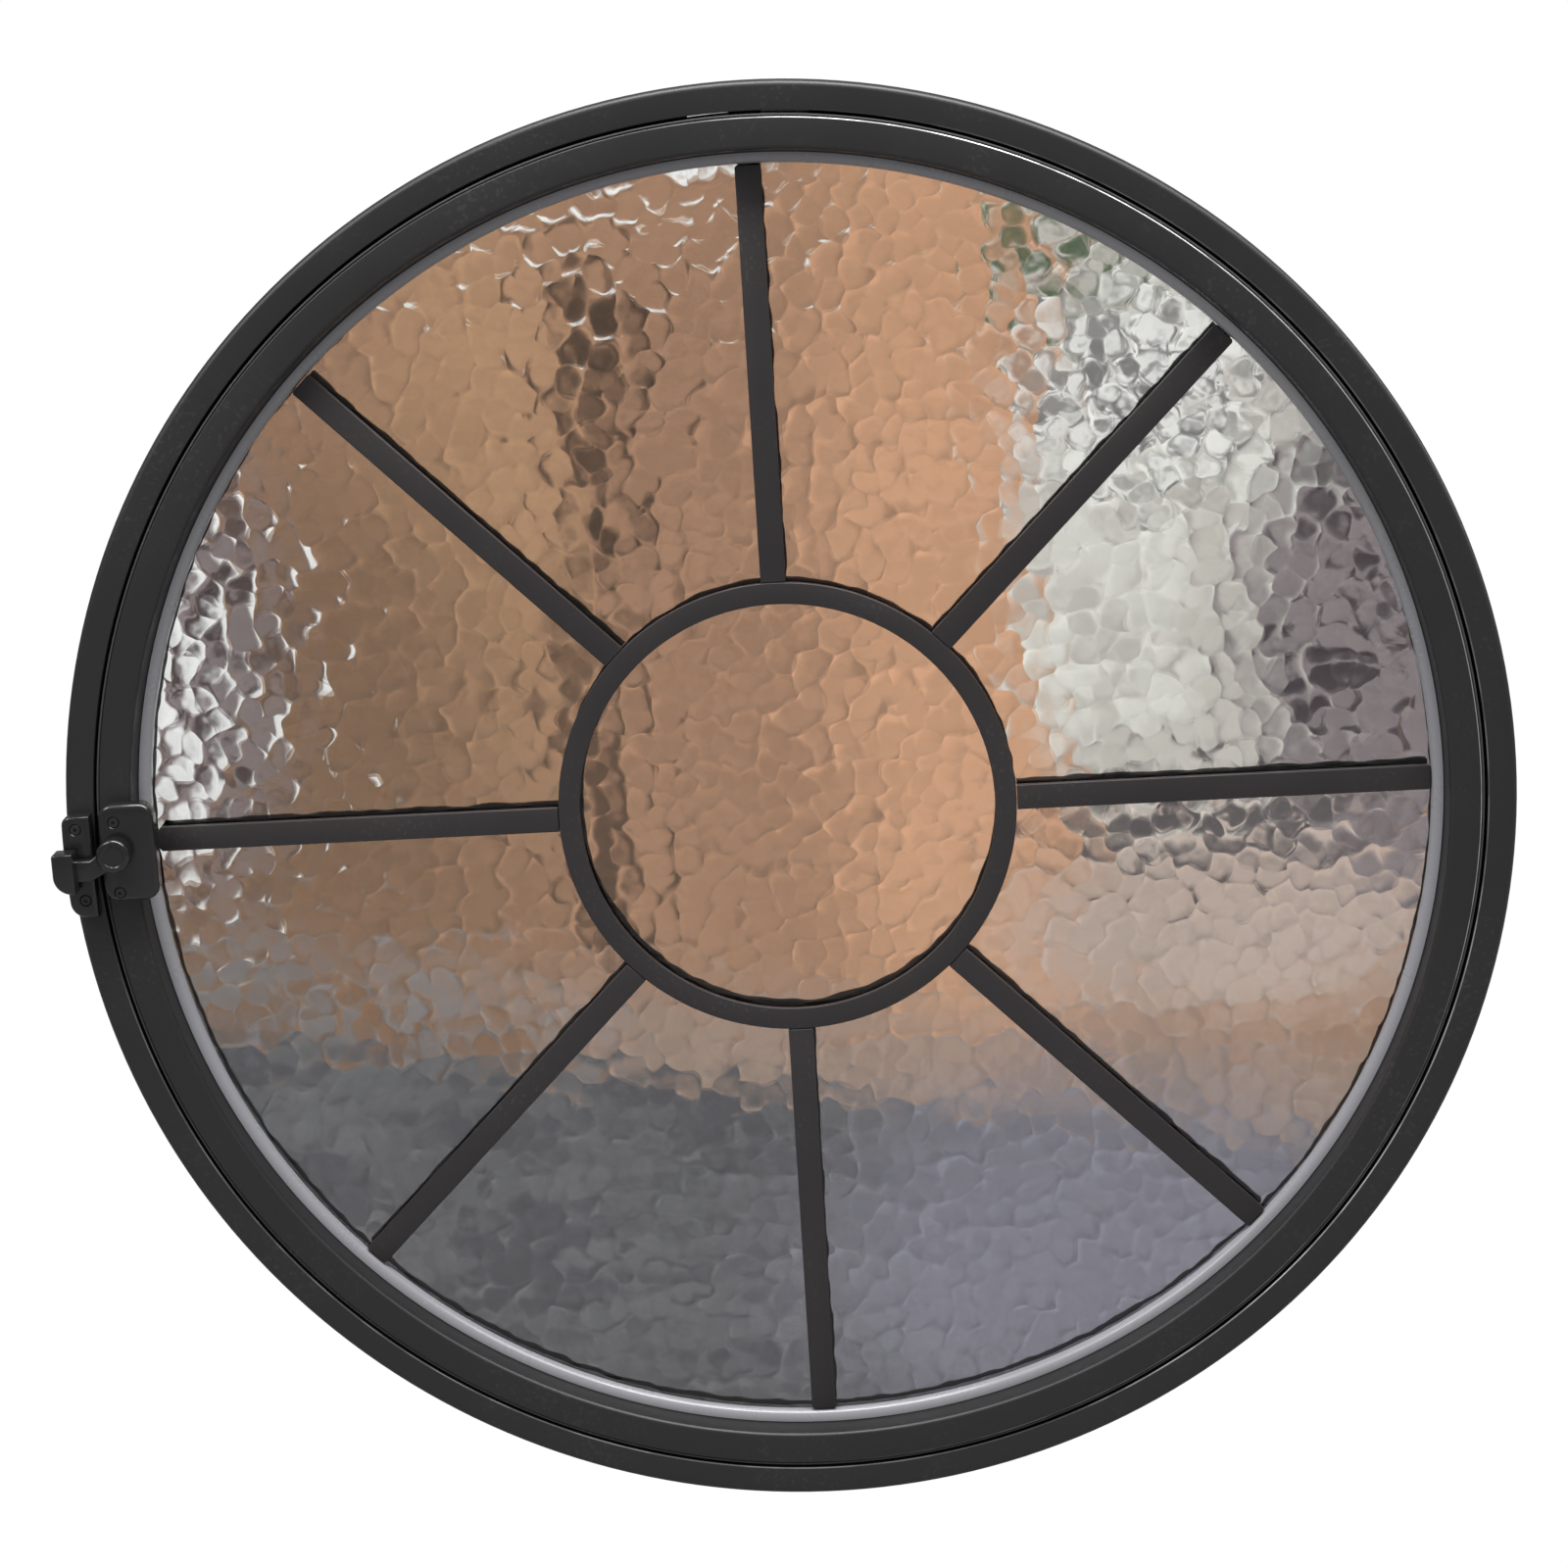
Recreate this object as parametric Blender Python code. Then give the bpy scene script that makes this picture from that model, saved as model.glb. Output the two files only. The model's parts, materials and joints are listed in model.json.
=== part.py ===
"""Round pivot window: a fixed ring frame and a glazed ring sash that turns on two upright pins.

Metres, +Z up. The origin is the window's centre in the plane of the wall face, where the back of
the flange lies. -Y is the front, the side with the latch, and +Y goes into the wall.
"""

import math

import bmesh
import bpy
from mathutils import Matrix, Vector

MM = 0.001
GAP = 0.3 * MM

# Rings: one count and phase for all of them, so that neighbours keep an even gap.
RING_STEPS = 72
SMALL_RING_STEPS = 48
ROUND_STEPS = 20
CORNER_STEPS = 4

# Frame: a flange on the wall face, and a web that lines the opening.
FRAME_OUTER_R = 400 * MM
FRAME_BORE_R = 384 * MM
FRAME_WEB = 5 * MM
FLANGE_FRONT = -8 * MM
FLANGE_BACK = 0.0
FLANGE_ROUND = 3.5 * MM
FRAME_REAR = 44 * MM
EDGE_BREAK = 0.8 * MM

# Sash ring: a front leg that stands before the glass, and a body with the glazing rebate.
SASH_OUTER_R = 380.8 * MM
SASH_FRONT = -8.5 * MM
SASH_REAR = 44 * MM
LEG_FRONT_R = 363.3 * MM
LEG_INNER_R = 361.5 * MM
LEG_ROUND = 2.5 * MM
LEG_REAR = 7 * MM
REBATE_R = 366.5 * MM
GROOVE_FLOOR_R = 373 * MM
GROOVE_Y = (27 * MM, 38 * MM)

# Sealed unit, front to back.
PANE_R = 364.2 * MM
PANE_THICKNESS = 4 * MM
CAVITY = 6 * MM
GASKET_INNER_R = 355 * MM
GASKET_CROWN_Y = 4.9 * MM
FRONT_PANE_Y = 11.3 * MM
REAR_PANE_Y = FRONT_PANE_Y + PANE_THICKNESS + CAVITY
UNIT_REAR = REAR_PANE_Y + PANE_THICKNESS
SPACER_R = (356.5 * MM, 362 * MM)
REAR_GASKET_R = 356 * MM
REAR_GASKET_THICKNESS = 2.8 * MM
REAR_BEAD_FOOT_R = 357 * MM
REAR_BEAD_TIP_R = 364 * MM
REAR_BEAD_FACE = 2.3 * MM
REAR_BEAD_DEPTH = 14 * MM
BLOCK_Y = (12 * MM, 24.5 * MM)
BLOCK_ARCS = {"left": (245, 255), "right": (285, 295)}

# Lattice: eight flat bars and a flat centre ring on each face of the sealed unit.
BAR_COUNT = 8
BAR_WIDTH = 13.8 * MM
BAR_THICKNESS = 3.5 * MM
BAR_END = (354.4 * MM, 1 * MM)
LEFT_BAR_END = (353.5 * MM, 3 * MM)
LEFT_BAR = 4
CENTRE_RING_R = (115.2 * MM, 127.2 * MM)
BAR_EDGE = 0.5 * MM

# Stops and seals: the front seal runs all the way round, and the others cover one half each.
STOP_Y = (FRAME_REAR + GAP, FRAME_REAR + GAP + 4 * MM)
FRAME_STOP_R = (374 * MM, 388.7 * MM)
SASH_STOP_R = (370 * MM, 388.7 * MM)
LEFT_STOP_ARC = (95, 265)
RIGHT_STOP_ARC = (-85, 85)
SEAL_R = (SASH_OUTER_R + GAP, 382.3 * MM)
RIGHT_SEAL_ARC = (-85, 85)
FRONT_SEAL_Y = (-7.8 * MM, -3 * MM)
REAR_SEAL_Y = (39.5 * MM, 43.5 * MM)

# Upright pins on the sash's turning axis.
PIVOT_Y = 18 * MM
PIN_R = 4 * MM
PIN_TIP_R = 369.6 * MM
PIN_HEAD_R = 7 * MM
PIN_HEAD_THICKNESS = 3 * MM
BUSH_R = 6 * MM
BUSH_BOTTOM_R = 369.3 * MM
WASHER_R = 9 * MM
WASHER_SPAN = (381.2 * MM, 383.6 * MM)

# Latch at the left of the sash, and its keep on the frame.
SPINDLE_X = -371 * MM
SPINDLE_R = 4 * MM
HOUSING_X = (-380 * MM, -349 * MM)
HOUSING_Z = (-28 * MM, 27 * MM)
HOUSING_BACK = SASH_FRONT - GAP
HOUSING_FRONT = -18.5 * MM
HOUSING_CORNER = 8 * MM
HOUSING_EDGE = 2.5 * MM
POCKET_DEPTH = 5.2 * MM
TONGUE_LENGTH = 17 * MM
TONGUE_WIDTH = 8 * MM
TONGUE_EYE_R = 6.5 * MM
TONGUE_Y = (-13.2 * MM, -9.4 * MM)
LEVER_BACK = -19 * MM
HUB_R = 9.5 * MM
HUB_FRONT = -29 * MM
ARM_FRONT = -25 * MM
TAB_FRONT = -31 * MM
TAB_X = (-405 * MM, -393 * MM)
TAB_Z = (-20 * MM, 3 * MM)
LEVER_EDGE = 1 * MM
KEEP_R = (384.6 * MM, 401 * MM)
KEEP_Z = (-37 * MM, 21 * MM)
KEEP_BACK = FLANGE_FRONT - GAP
KEEP_FRONT = -17 * MM
KEEP_EDGE = 1.5 * MM
KEEP_POCKET_X = -390.5 * MM
KEEP_POCKET_Z = (-14 * MM, 6.5 * MM)

# Countersunk screws that hold the housing and the keep.
SCREW_R = 1.5 * MM
SCREW_HEAD_R = 2.9 * MM
SCREW_HEAD_DEPTH = 1.6 * MM
SCREW_BITE = 6 * MM
HOUSING_SCREWS = {"top": (-371 * MM, 17 * MM), "bottom": (-371 * MM, -23.2 * MM)}
KEEP_SCREWS = {"top": (-393 * MM, 13.5 * MM), "bottom": (-391 * MM, -27 * MM)}


def clear_scene():
    for obj in list(bpy.data.objects):
        bpy.data.objects.remove(obj)


def make_material(name, colour, roughness, metallic=0.0, transmission=0.0):
    material = bpy.data.materials.new(name)
    material.use_nodes = True
    shader = material.node_tree.nodes["Principled BSDF"]
    shader.inputs["Base Color"].default_value = (*colour, 1.0)
    shader.inputs["Roughness"].default_value = roughness
    shader.inputs["Metallic"].default_value = metallic
    shader.inputs["Transmission Weight"].default_value = transmission
    return material


def make_object(name, mesh_builder, material, parent=None):
    """One named object from a bmesh; its parent is an empty on the axis that it turns about."""
    bmesh.ops.recalc_face_normals(mesh_builder, faces=mesh_builder.faces)
    mesh = bpy.data.meshes.new(name)
    mesh_builder.to_mesh(mesh)
    mesh_builder.free()
    mesh.shade_smooth()
    mesh.set_sharp_from_angle(angle=math.radians(30))
    mesh.materials.append(material)
    obj = bpy.data.objects.new(name, mesh)
    bpy.context.collection.objects.link(obj)
    if parent:
        attach(obj, parent)
    return obj


def attach(obj, parent):
    obj.parent = parent
    obj.matrix_parent_inverse = parent.matrix_world.inverted()


def make_axis(name, location, parent=None):
    empty = bpy.data.objects.new(name, None)
    bpy.context.collection.objects.link(empty)
    empty.location = location
    bpy.context.view_layer.update()
    if parent:
        attach(empty, parent)
        bpy.context.view_layer.update()
    return empty


def ring(profile, arc=None, steps=RING_STEPS):
    """Turn a closed (radius, y) profile about the Y axis: all the way round, or over an arc in degrees."""
    start, end = arc or (0, 360)
    bm = bmesh.new()
    begin = Matrix.Rotation(-math.radians(start), 3, "Y")
    corners = [bm.verts.new(begin @ Vector((radius, y, 0))) for radius, y in profile]
    edges = [bm.edges.new((corners[i - 1], corners[i])) for i in range(len(corners))]
    bmesh.ops.spin(
        bm,
        geom=corners + edges,
        cent=(0, 0, 0),
        axis=(0, -1, 0),
        angle=math.radians(end - start),
        steps=round(steps * (end - start) / 360),
        use_merge=arc is None,
    )
    if arc:
        bmesh.ops.holes_fill(bm, edges=[edge for edge in bm.edges if edge.is_boundary])
    return bm


def band(radii, depths):
    """The four corners of a plain rectangular ring section."""
    return [(radii[0], depths[0]), (radii[1], depths[0]), (radii[1], depths[1]), (radii[0], depths[1])]


def turned(profile, steps=ROUND_STEPS):
    """Turn an open (radius, height) profile, which starts and ends on the axis, about Z."""
    bm = bmesh.new()
    points = [bm.verts.new((radius, 0, height)) for radius, height in profile]
    edges = [bm.edges.new(pair) for pair in zip(points, points[1:])]
    bmesh.ops.spin(
        bm,
        geom=points + edges,
        cent=(0, 0, 0),
        axis=(0, 0, 1),
        angle=math.tau,
        steps=steps,
        use_merge=True,
    )
    bmesh.ops.remove_doubles(bm, verts=bm.verts, dist=0.001 * MM)
    return bm


def tube(inner, outer, low, high):
    """A plain round sleeve about Z."""
    bm = bmesh.new()
    corners = [bm.verts.new((radius, 0, height)) for radius, height in band((inner, outer), (low, high))]
    edges = [bm.edges.new((corners[i - 1], corners[i])) for i in range(len(corners))]
    bmesh.ops.spin(
        bm,
        geom=corners + edges,
        cent=(0, 0, 0),
        axis=(0, 0, 1),
        angle=math.tau,
        steps=ROUND_STEPS,
        use_merge=True,
    )
    return bm


def rod(radius, low, high):
    return turned([(0, low), (radius, low), (radius, high), (0, high)])


def placed(bm, matrix):
    bmesh.ops.transform(bm, matrix=matrix, verts=bm.verts)
    return bm


def along_y(x, z):
    """Turn a piece made about Z so that its +Z points to the front, and move it to (x, z)."""
    return Matrix.Translation((x, 0, z)) @ Matrix.Rotation(math.pi / 2, 4, "X")


def arc_points(centre, radius, start, end, steps=CORNER_STEPS):
    """Points on an arc in the XZ plane, from one angle to another in degrees."""
    angles = [math.radians(start + (end - start) * i / steps) for i in range(steps + 1)]
    return [(centre[0] + radius * math.cos(a), centre[1] + radius * math.sin(a)) for a in angles]


def rounded_box(xs, zs, radius):
    """A rectangle's outline in XZ with round corners, anticlockwise from its top right."""
    centres = (
        ((xs[1] - radius, zs[1] - radius), 0),
        ((xs[0] + radius, zs[1] - radius), 90),
        ((xs[0] + radius, zs[0] + radius), 180),
        ((xs[1] - radius, zs[0] + radius), 270),
    )
    return [point for centre, start in centres for point in arc_points(centre, radius, start, start + 90)]


def prism(outline, front, back, edge=0.0, edge_steps=2):
    """Extrude an XZ outline from front to back along Y, and round its front rim by edge."""
    bm = bmesh.new()
    face = bm.faces.new([bm.verts.new((x, front, z)) for x, z in outline])
    rim = list(face.edges)
    grown = bmesh.ops.extrude_face_region(bm, geom=[face], use_keep_orig=True)
    moved = [item for item in grown["geom"] if isinstance(item, bmesh.types.BMVert)]
    bmesh.ops.translate(bm, verts=moved, vec=(0, back - front, 0))
    bmesh.ops.recalc_face_normals(bm, faces=bm.faces)
    if edge:
        bmesh.ops.bevel(
            bm,
            geom=rim,
            offset=edge,
            segments=edge_steps,
            profile=0.5,
            affect="EDGES",
            material=-1,
            clamp_overlap=True,
        )
    return bm


def box(xs, ys, zs):
    corners = [(xs[0], zs[0]), (xs[1], zs[0]), (xs[1], zs[1]), (xs[0], zs[1])]
    return prism(corners, ys[0], ys[1])


def make_helper(name, bm):
    """A shape that only takes part in Booleans."""
    bmesh.ops.recalc_face_normals(bm, faces=bm.faces)
    mesh = bpy.data.meshes.new(name)
    bm.to_mesh(mesh)
    bm.free()
    helper = bpy.data.objects.new(name, mesh)
    helper.hide_render = True
    helper.display_type = "WIRE"
    bpy.context.collection.objects.link(helper)
    return helper


def combine(obj, operation, helpers):
    """Cut each helper from the object, or join it on."""
    for helper in helpers:
        modifier = obj.modifiers.new(helper.name, "BOOLEAN")
        modifier.operation = operation
        modifier.object = helper


def screw_profile(length):
    """A countersunk screw about Z with its face at 0 and its point below."""
    point = 1 * MM
    return [
        (0, -length),
        (0.4 * SCREW_R, -length),
        (SCREW_R, -length + point),
        (SCREW_R, -SCREW_HEAD_DEPTH),
        (SCREW_HEAD_R, 0),
        (0, 0),
    ]


def screw_hole_profile(length):
    """The same outline with clearance all round, reaching past the face."""
    slope = (SCREW_HEAD_R - SCREW_R) / SCREW_HEAD_DEPTH
    past = 1 * MM
    radius = SCREW_R + GAP
    mouth = SCREW_HEAD_R + GAP
    return [
        (0, -length - GAP),
        (radius, -length - GAP),
        (radius, -SCREW_HEAD_DEPTH - GAP / 2),
        (mouth, -GAP / 2),
        (mouth + past * slope, past),
        (0, past),
    ]


def add_screws(prefix, places, face_y, depth, targets, material, parent):
    """Countersunk screws from a face into what lies behind it, with their holes cut from each target."""
    sunk = 0.2 * MM
    for label, (x, z) in places.items():
        seat = Matrix.Translation((0, face_y + sunk, 0)) @ along_y(x, z)
        make_object(f"{prefix}_screw_{label}", placed(turned(screw_profile(depth)), seat), material, parent)
        for target in targets:
            hole = make_helper(
                f"cut_{prefix}_screw_{label}_{target.name}", placed(turned(screw_hole_profile(depth)), seat)
            )
            combine(target, "DIFFERENCE", [hole])


def build_frame(materials):
    round_centre = (FRAME_OUTER_R - FLANGE_ROUND, -(FLANGE_FRONT + FLANGE_ROUND))
    rounding = [(r, -y) for r, y in arc_points(round_centre, FLANGE_ROUND, 90, 0)]
    profile = [
        (FRAME_BORE_R, FLANGE_FRONT + EDGE_BREAK),
        (FRAME_BORE_R + EDGE_BREAK, FLANGE_FRONT),
        *rounding,
        (FRAME_OUTER_R, FLANGE_BACK),
        (FRAME_BORE_R + FRAME_WEB, FLANGE_BACK),
        (FRAME_BORE_R + FRAME_WEB, FRAME_REAR),
        (FRAME_BORE_R, FRAME_REAR),
    ]
    frame = make_object("outer_frame", ring(profile), materials["black"])
    stop = ring(band(FRAME_STOP_R, STOP_Y), LEFT_STOP_ARC)
    make_object("frame_stop_left", stop, materials["black"])
    return frame


def build_sash(materials, axis):
    round_centre = (LEG_FRONT_R + LEG_ROUND, -(SASH_FRONT + LEG_ROUND))
    rounding = [(r, -y) for r, y in arc_points(round_centre, LEG_ROUND, 90, 180)]
    profile = [
        (SASH_OUTER_R, SASH_FRONT + EDGE_BREAK),
        (SASH_OUTER_R - EDGE_BREAK, SASH_FRONT),
        *rounding,
        (LEG_INNER_R, LEG_REAR - 1.5 * MM),
        (LEG_INNER_R, LEG_REAR),
        (REBATE_R, LEG_REAR),
        (REBATE_R, SASH_REAR),
        (SASH_OUTER_R, SASH_REAR),
        (SASH_OUTER_R, GROOVE_Y[1]),
        (GROOVE_FLOOR_R, GROOVE_Y[1]),
        (GROOVE_FLOOR_R, GROOVE_Y[0]),
        (SASH_OUTER_R, GROOVE_Y[0]),
    ]
    sash = make_object("sash_ring", ring(profile), materials["black"], axis)
    stop = ring(band(SASH_STOP_R, STOP_Y), RIGHT_STOP_ARC)
    make_object("sash_stop_right", stop, materials["black"], axis)
    front_seal = ring(band(SEAL_R, FRONT_SEAL_Y))
    make_object("weather_seal_front", front_seal, materials["rubber"], axis)
    rear_seal = ring(band(SEAL_R, REAR_SEAL_Y), RIGHT_SEAL_ARC)
    make_object("weather_seal_rear", rear_seal, materials["rubber"], axis)
    return sash


def pane(front):
    outline = [(x, z) for x, z in arc_points((0, 0), PANE_R, 0, 360, RING_STEPS)[:-1]]
    return prism(outline, front, front + PANE_THICKNESS)


def build_glazing(materials, axis):
    front_gasket = [
        (LEG_INNER_R - GAP, GASKET_CROWN_Y + GAP),
        (LEG_INNER_R - 1.3 * MM, GASKET_CROWN_Y),
        (LEG_INNER_R - 3.5 * MM, GASKET_CROWN_Y + 1.1 * MM),
        (GASKET_INNER_R + 1.2 * MM, GASKET_CROWN_Y + 3.1 * MM),
        (GASKET_INNER_R, FRONT_PANE_Y - GAP),
        (PANE_R, FRONT_PANE_Y - GAP),
        (PANE_R, LEG_REAR + GAP),
        (LEG_INNER_R - GAP, LEG_REAR + GAP),
    ]
    make_object("front_gasket", ring(front_gasket), materials["grey_rubber"], axis)
    make_object("front_pane", pane(FRONT_PANE_Y), materials["glass"], axis)
    cavity = (FRONT_PANE_Y + PANE_THICKNESS + GAP, REAR_PANE_Y - GAP)
    make_object("spacer_bar", ring(band(SPACER_R, cavity)), materials["aluminium"], axis)
    edge_seal = ring(band((SPACER_R[1] + GAP, PANE_R), cavity))
    make_object("edge_seal", edge_seal, materials["rubber"], axis)
    make_object("rear_pane", pane(REAR_PANE_Y), materials["glass"], axis)

    gasket_y = (UNIT_REAR + GAP, UNIT_REAR + GAP + REAR_GASKET_THICKNESS)
    rear_gasket = ring(band((REAR_GASKET_R, PANE_R), gasket_y))
    make_object("rear_gasket", rear_gasket, materials["rubber"], axis)
    bead_front = gasket_y[1] + GAP
    bead_rear = bead_front + REAR_BEAD_DEPTH
    bead = [
        (REBATE_R - GAP, bead_front),
        (REAR_BEAD_FOOT_R, bead_front),
        (REAR_BEAD_FOOT_R, bead_front + REAR_BEAD_FACE),
        (REAR_BEAD_TIP_R, bead_rear),
        (REBATE_R - GAP, bead_rear),
    ]
    make_object("rear_glazing_bead", ring(bead), materials["black"], axis)
    for side, arc in BLOCK_ARCS.items():
        block = ring(band((PANE_R + GAP, REBATE_R - GAP), BLOCK_Y), arc)
        make_object(f"setting_block_{side}", block, materials["nylon"], axis)


def bar_outline(end, chamfer):
    """A flat bar that points along +X, square at the centre ring and chamfered at its outer end."""
    half = BAR_WIDTH / 2
    start = CENTRE_RING_R[1] + GAP
    return [
        (start, -half),
        (end - chamfer, -half),
        (end, -half + chamfer),
        (end, half - chamfer),
        (end - chamfer, half),
        (start, half),
    ]


def build_lattice(materials, axis):
    inner, outer = CENTRE_RING_R
    faces = {
        "front": (FRONT_PANE_Y - GAP - BAR_THICKNESS, FRONT_PANE_Y - GAP),
        "rear": (UNIT_REAR + GAP + BAR_THICKNESS, UNIT_REAR + GAP),
    }
    for side, (face, foot) in faces.items():
        inward = BAR_EDGE if foot > face else -BAR_EDGE
        section = [
            (inner, foot),
            (inner, face + inward),
            (inner + BAR_EDGE, face),
            (outer - BAR_EDGE, face),
            (outer, face + inward),
            (outer, foot),
        ]
        centre = ring(section, steps=SMALL_RING_STEPS)
        make_object(f"{side}_centre_ring", centre, materials["black"], axis)
        for index in range(BAR_COUNT):
            outline = bar_outline(*(LEFT_BAR_END if index == LEFT_BAR else BAR_END))
            bar = prism(outline, face, foot, BAR_EDGE, 1)
            turn = Matrix.Rotation(-math.tau * index / BAR_COUNT, 4, "Y")
            make_object(f"{side}_bar_{index + 1}", placed(bar, turn), materials["black"], axis)


def build_pivots(materials, frame, sash, axis):
    """Shouldered pins from the frame's web into bushes in the sash, at the top and the bottom."""
    head = FRAME_BORE_R + FRAME_WEB + GAP
    pin = [
        (0, PIN_TIP_R),
        (PIN_R, PIN_TIP_R),
        (PIN_R, head),
        (PIN_HEAD_R, head),
        (PIN_HEAD_R, head + PIN_HEAD_THICKNESS),
        (0, head + PIN_HEAD_THICKNESS),
    ]
    past = 5 * MM
    for label, turn in (("top", 0), ("bottom", math.pi)):
        seat = Matrix.Translation((0, PIVOT_Y, 0)) @ Matrix.Rotation(turn, 4, "X")
        make_object(f"pivot_pin_{label}", placed(turned(pin), seat), materials["steel"])
        bush = tube(PIN_R + GAP, BUSH_R, BUSH_BOTTOM_R, SASH_OUTER_R - GAP)
        make_object(f"pivot_bush_{label}", placed(bush, seat), materials["nylon"], axis)
        washer = tube(PIN_R + GAP, WASHER_R, *WASHER_SPAN)
        make_object(f"pivot_washer_{label}", placed(washer, seat), materials["nylon"], axis)
        frame_hole = rod(PIN_R + GAP, FRAME_BORE_R - past, head + past)
        combine(frame, "DIFFERENCE", [make_helper(f"cut_frame_{label}", placed(frame_hole, seat))])
        sash_hole = rod(BUSH_R + GAP, BUSH_BOTTOM_R - GAP, SASH_OUTER_R + past)
        combine(sash, "DIFFERENCE", [make_helper(f"cut_sash_{label}", placed(sash_hole, seat))])


def keep_outline():
    """A plate that follows the frame's curve outside and stands square to the sash inside."""
    inner, outer = KEEP_R
    low, high = KEEP_Z
    corner = 5 * MM
    foot = 9 * MM
    start = 180 - math.degrees(math.asin((high - corner) / outer))
    end = 180 + math.degrees(math.asin(-(low + foot) / outer))
    rim = arc_points((0, 0), outer, start, end, 6)
    top = (rim[0][0] + corner, high - corner)
    bottom = (rim[-1][0] + foot, low + foot)
    return [
        *arc_points(bottom, foot, 180, 270),
        (-inner, low),
        (-inner, high),
        *arc_points(top, corner, 90, 180),
        *rim[1:-1],
    ]


def build_keep(materials, frame):
    body = prism(keep_outline(), KEEP_FRONT, KEEP_BACK, KEEP_EDGE)
    keep = make_object("latch_keep", body, materials["black"])
    past = 2 * MM
    pocket = box(
        (KEEP_POCKET_X, -KEEP_R[0] + past), (HOUSING_BACK - POCKET_DEPTH, KEEP_BACK + past), KEEP_POCKET_Z
    )
    combine(keep, "DIFFERENCE", [make_helper("cut_keep_pocket", pocket)])
    depth = KEEP_BACK - KEEP_FRONT + SCREW_BITE
    add_screws("keep", KEEP_SCREWS, KEEP_FRONT, depth, (keep, frame), materials["steel"], None)


def build_housing(materials, sash, axis):
    outline = rounded_box(HOUSING_X, HOUSING_Z, HOUSING_CORNER)
    body = prism(outline, HOUSING_FRONT, HOUSING_BACK, HOUSING_EDGE, 3)
    housing = make_object("latch_housing", body, materials["black"], axis)
    past = 2 * MM
    clear = 1 * MM
    pocket = box(
        (HOUSING_X[0] - past, SPINDLE_X + TONGUE_EYE_R + clear),
        (HOUSING_BACK - POCKET_DEPTH, HOUSING_BACK + past),
        (-TONGUE_LENGTH - clear, TONGUE_EYE_R + clear),
    )
    bore = placed(rod(SPINDLE_R + GAP, 0, -2 * HOUSING_FRONT), along_y(SPINDLE_X, 0))
    combine(
        housing,
        "DIFFERENCE",
        [make_helper("cut_housing_pocket", pocket), make_helper("cut_housing_bore", bore)],
    )
    depth = HOUSING_BACK - HOUSING_FRONT + SCREW_BITE
    add_screws("housing", HOUSING_SCREWS, HOUSING_FRONT, depth, (housing, sash), materials["steel"], axis)


def tab_outline():
    """The lever's thumb tab: flat on top and round below."""
    low, high = TAB_Z
    corner = 2 * MM
    belly = 10 * MM
    right, left = TAB_X[1], TAB_X[0]
    return [
        (right, high),
        *arc_points((left + corner, high - corner), corner, 90, 180),
        *arc_points((left + belly, low + belly), belly, 180, 270),
        (right, low),
    ]


def arm_outline():
    """The lever's arm, cranked down from the hub to the tab."""
    hub_half = 7 * MM
    tab_half = 6 * MM
    middle = (TAB_Z[0] + TAB_Z[1]) / 2
    reach = TAB_X[1] - 3 * MM
    knee = SPINDLE_X - 14 * MM
    return [
        (SPINDLE_X, hub_half),
        (knee, middle + tab_half),
        (reach, middle + tab_half),
        (reach, middle - tab_half),
        (knee, middle - tab_half),
        (SPINDLE_X, -hub_half),
    ]


def build_latch(materials, axis):
    spindle_back = TONGUE_Y[1] + 0.1 * MM
    spindle_front = HUB_FRONT + 2.5 * MM
    hub_profile = [
        (0, -LEVER_BACK),
        (HUB_R, -LEVER_BACK),
        (HUB_R, -HUB_FRONT - 1.5 * MM),
        (HUB_R - 1.5 * MM, -HUB_FRONT),
        (0, -HUB_FRONT),
    ]
    hub = placed(turned(hub_profile, 28), along_y(SPINDLE_X, 0))
    lever = make_object("latch_lever", hub, materials["black"], axis)
    arm = make_helper("join_arm", prism(arm_outline(), ARM_FRONT, LEVER_BACK - 0.2 * MM, LEVER_EDGE))
    tab = make_helper("join_tab", prism(tab_outline(), TAB_FRONT, LEVER_BACK - 0.4 * MM, LEVER_EDGE))
    combine(lever, "UNION", [arm, tab])
    socket = placed(
        rod(SPINDLE_R + GAP, -LEVER_BACK - 2 * MM, -spindle_front + GAP), along_y(SPINDLE_X, 0)
    )
    combine(lever, "DIFFERENCE", [make_helper("cut_lever_socket", socket)])

    spindle = placed(rod(SPINDLE_R, -spindle_back, -spindle_front), along_y(SPINDLE_X, 0))
    make_object("latch_spindle", spindle, materials["steel"], axis)

    half = TONGUE_WIDTH / 2
    spread = math.degrees(math.asin(half / TONGUE_EYE_R))
    eye = arc_points((SPINDLE_X, 0), TONGUE_EYE_R, -90 + spread, 270 - spread, 14)
    tip_corner = 1.5 * MM
    tip = [
        (SPINDLE_X - half, -TONGUE_LENGTH + tip_corner),
        (SPINDLE_X - half + tip_corner, -TONGUE_LENGTH),
        (SPINDLE_X + half - tip_corner, -TONGUE_LENGTH),
        (SPINDLE_X + half, -TONGUE_LENGTH + tip_corner),
    ]
    tongue = make_object("latch_tongue", prism([*eye, *tip], *TONGUE_Y), materials["steel"], axis)
    eye_hole = placed(rod(SPINDLE_R + GAP, 0, -2 * TONGUE_Y[0]), along_y(SPINDLE_X, 0))
    combine(tongue, "DIFFERENCE", [make_helper("cut_tongue_eye", eye_hole)])


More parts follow.
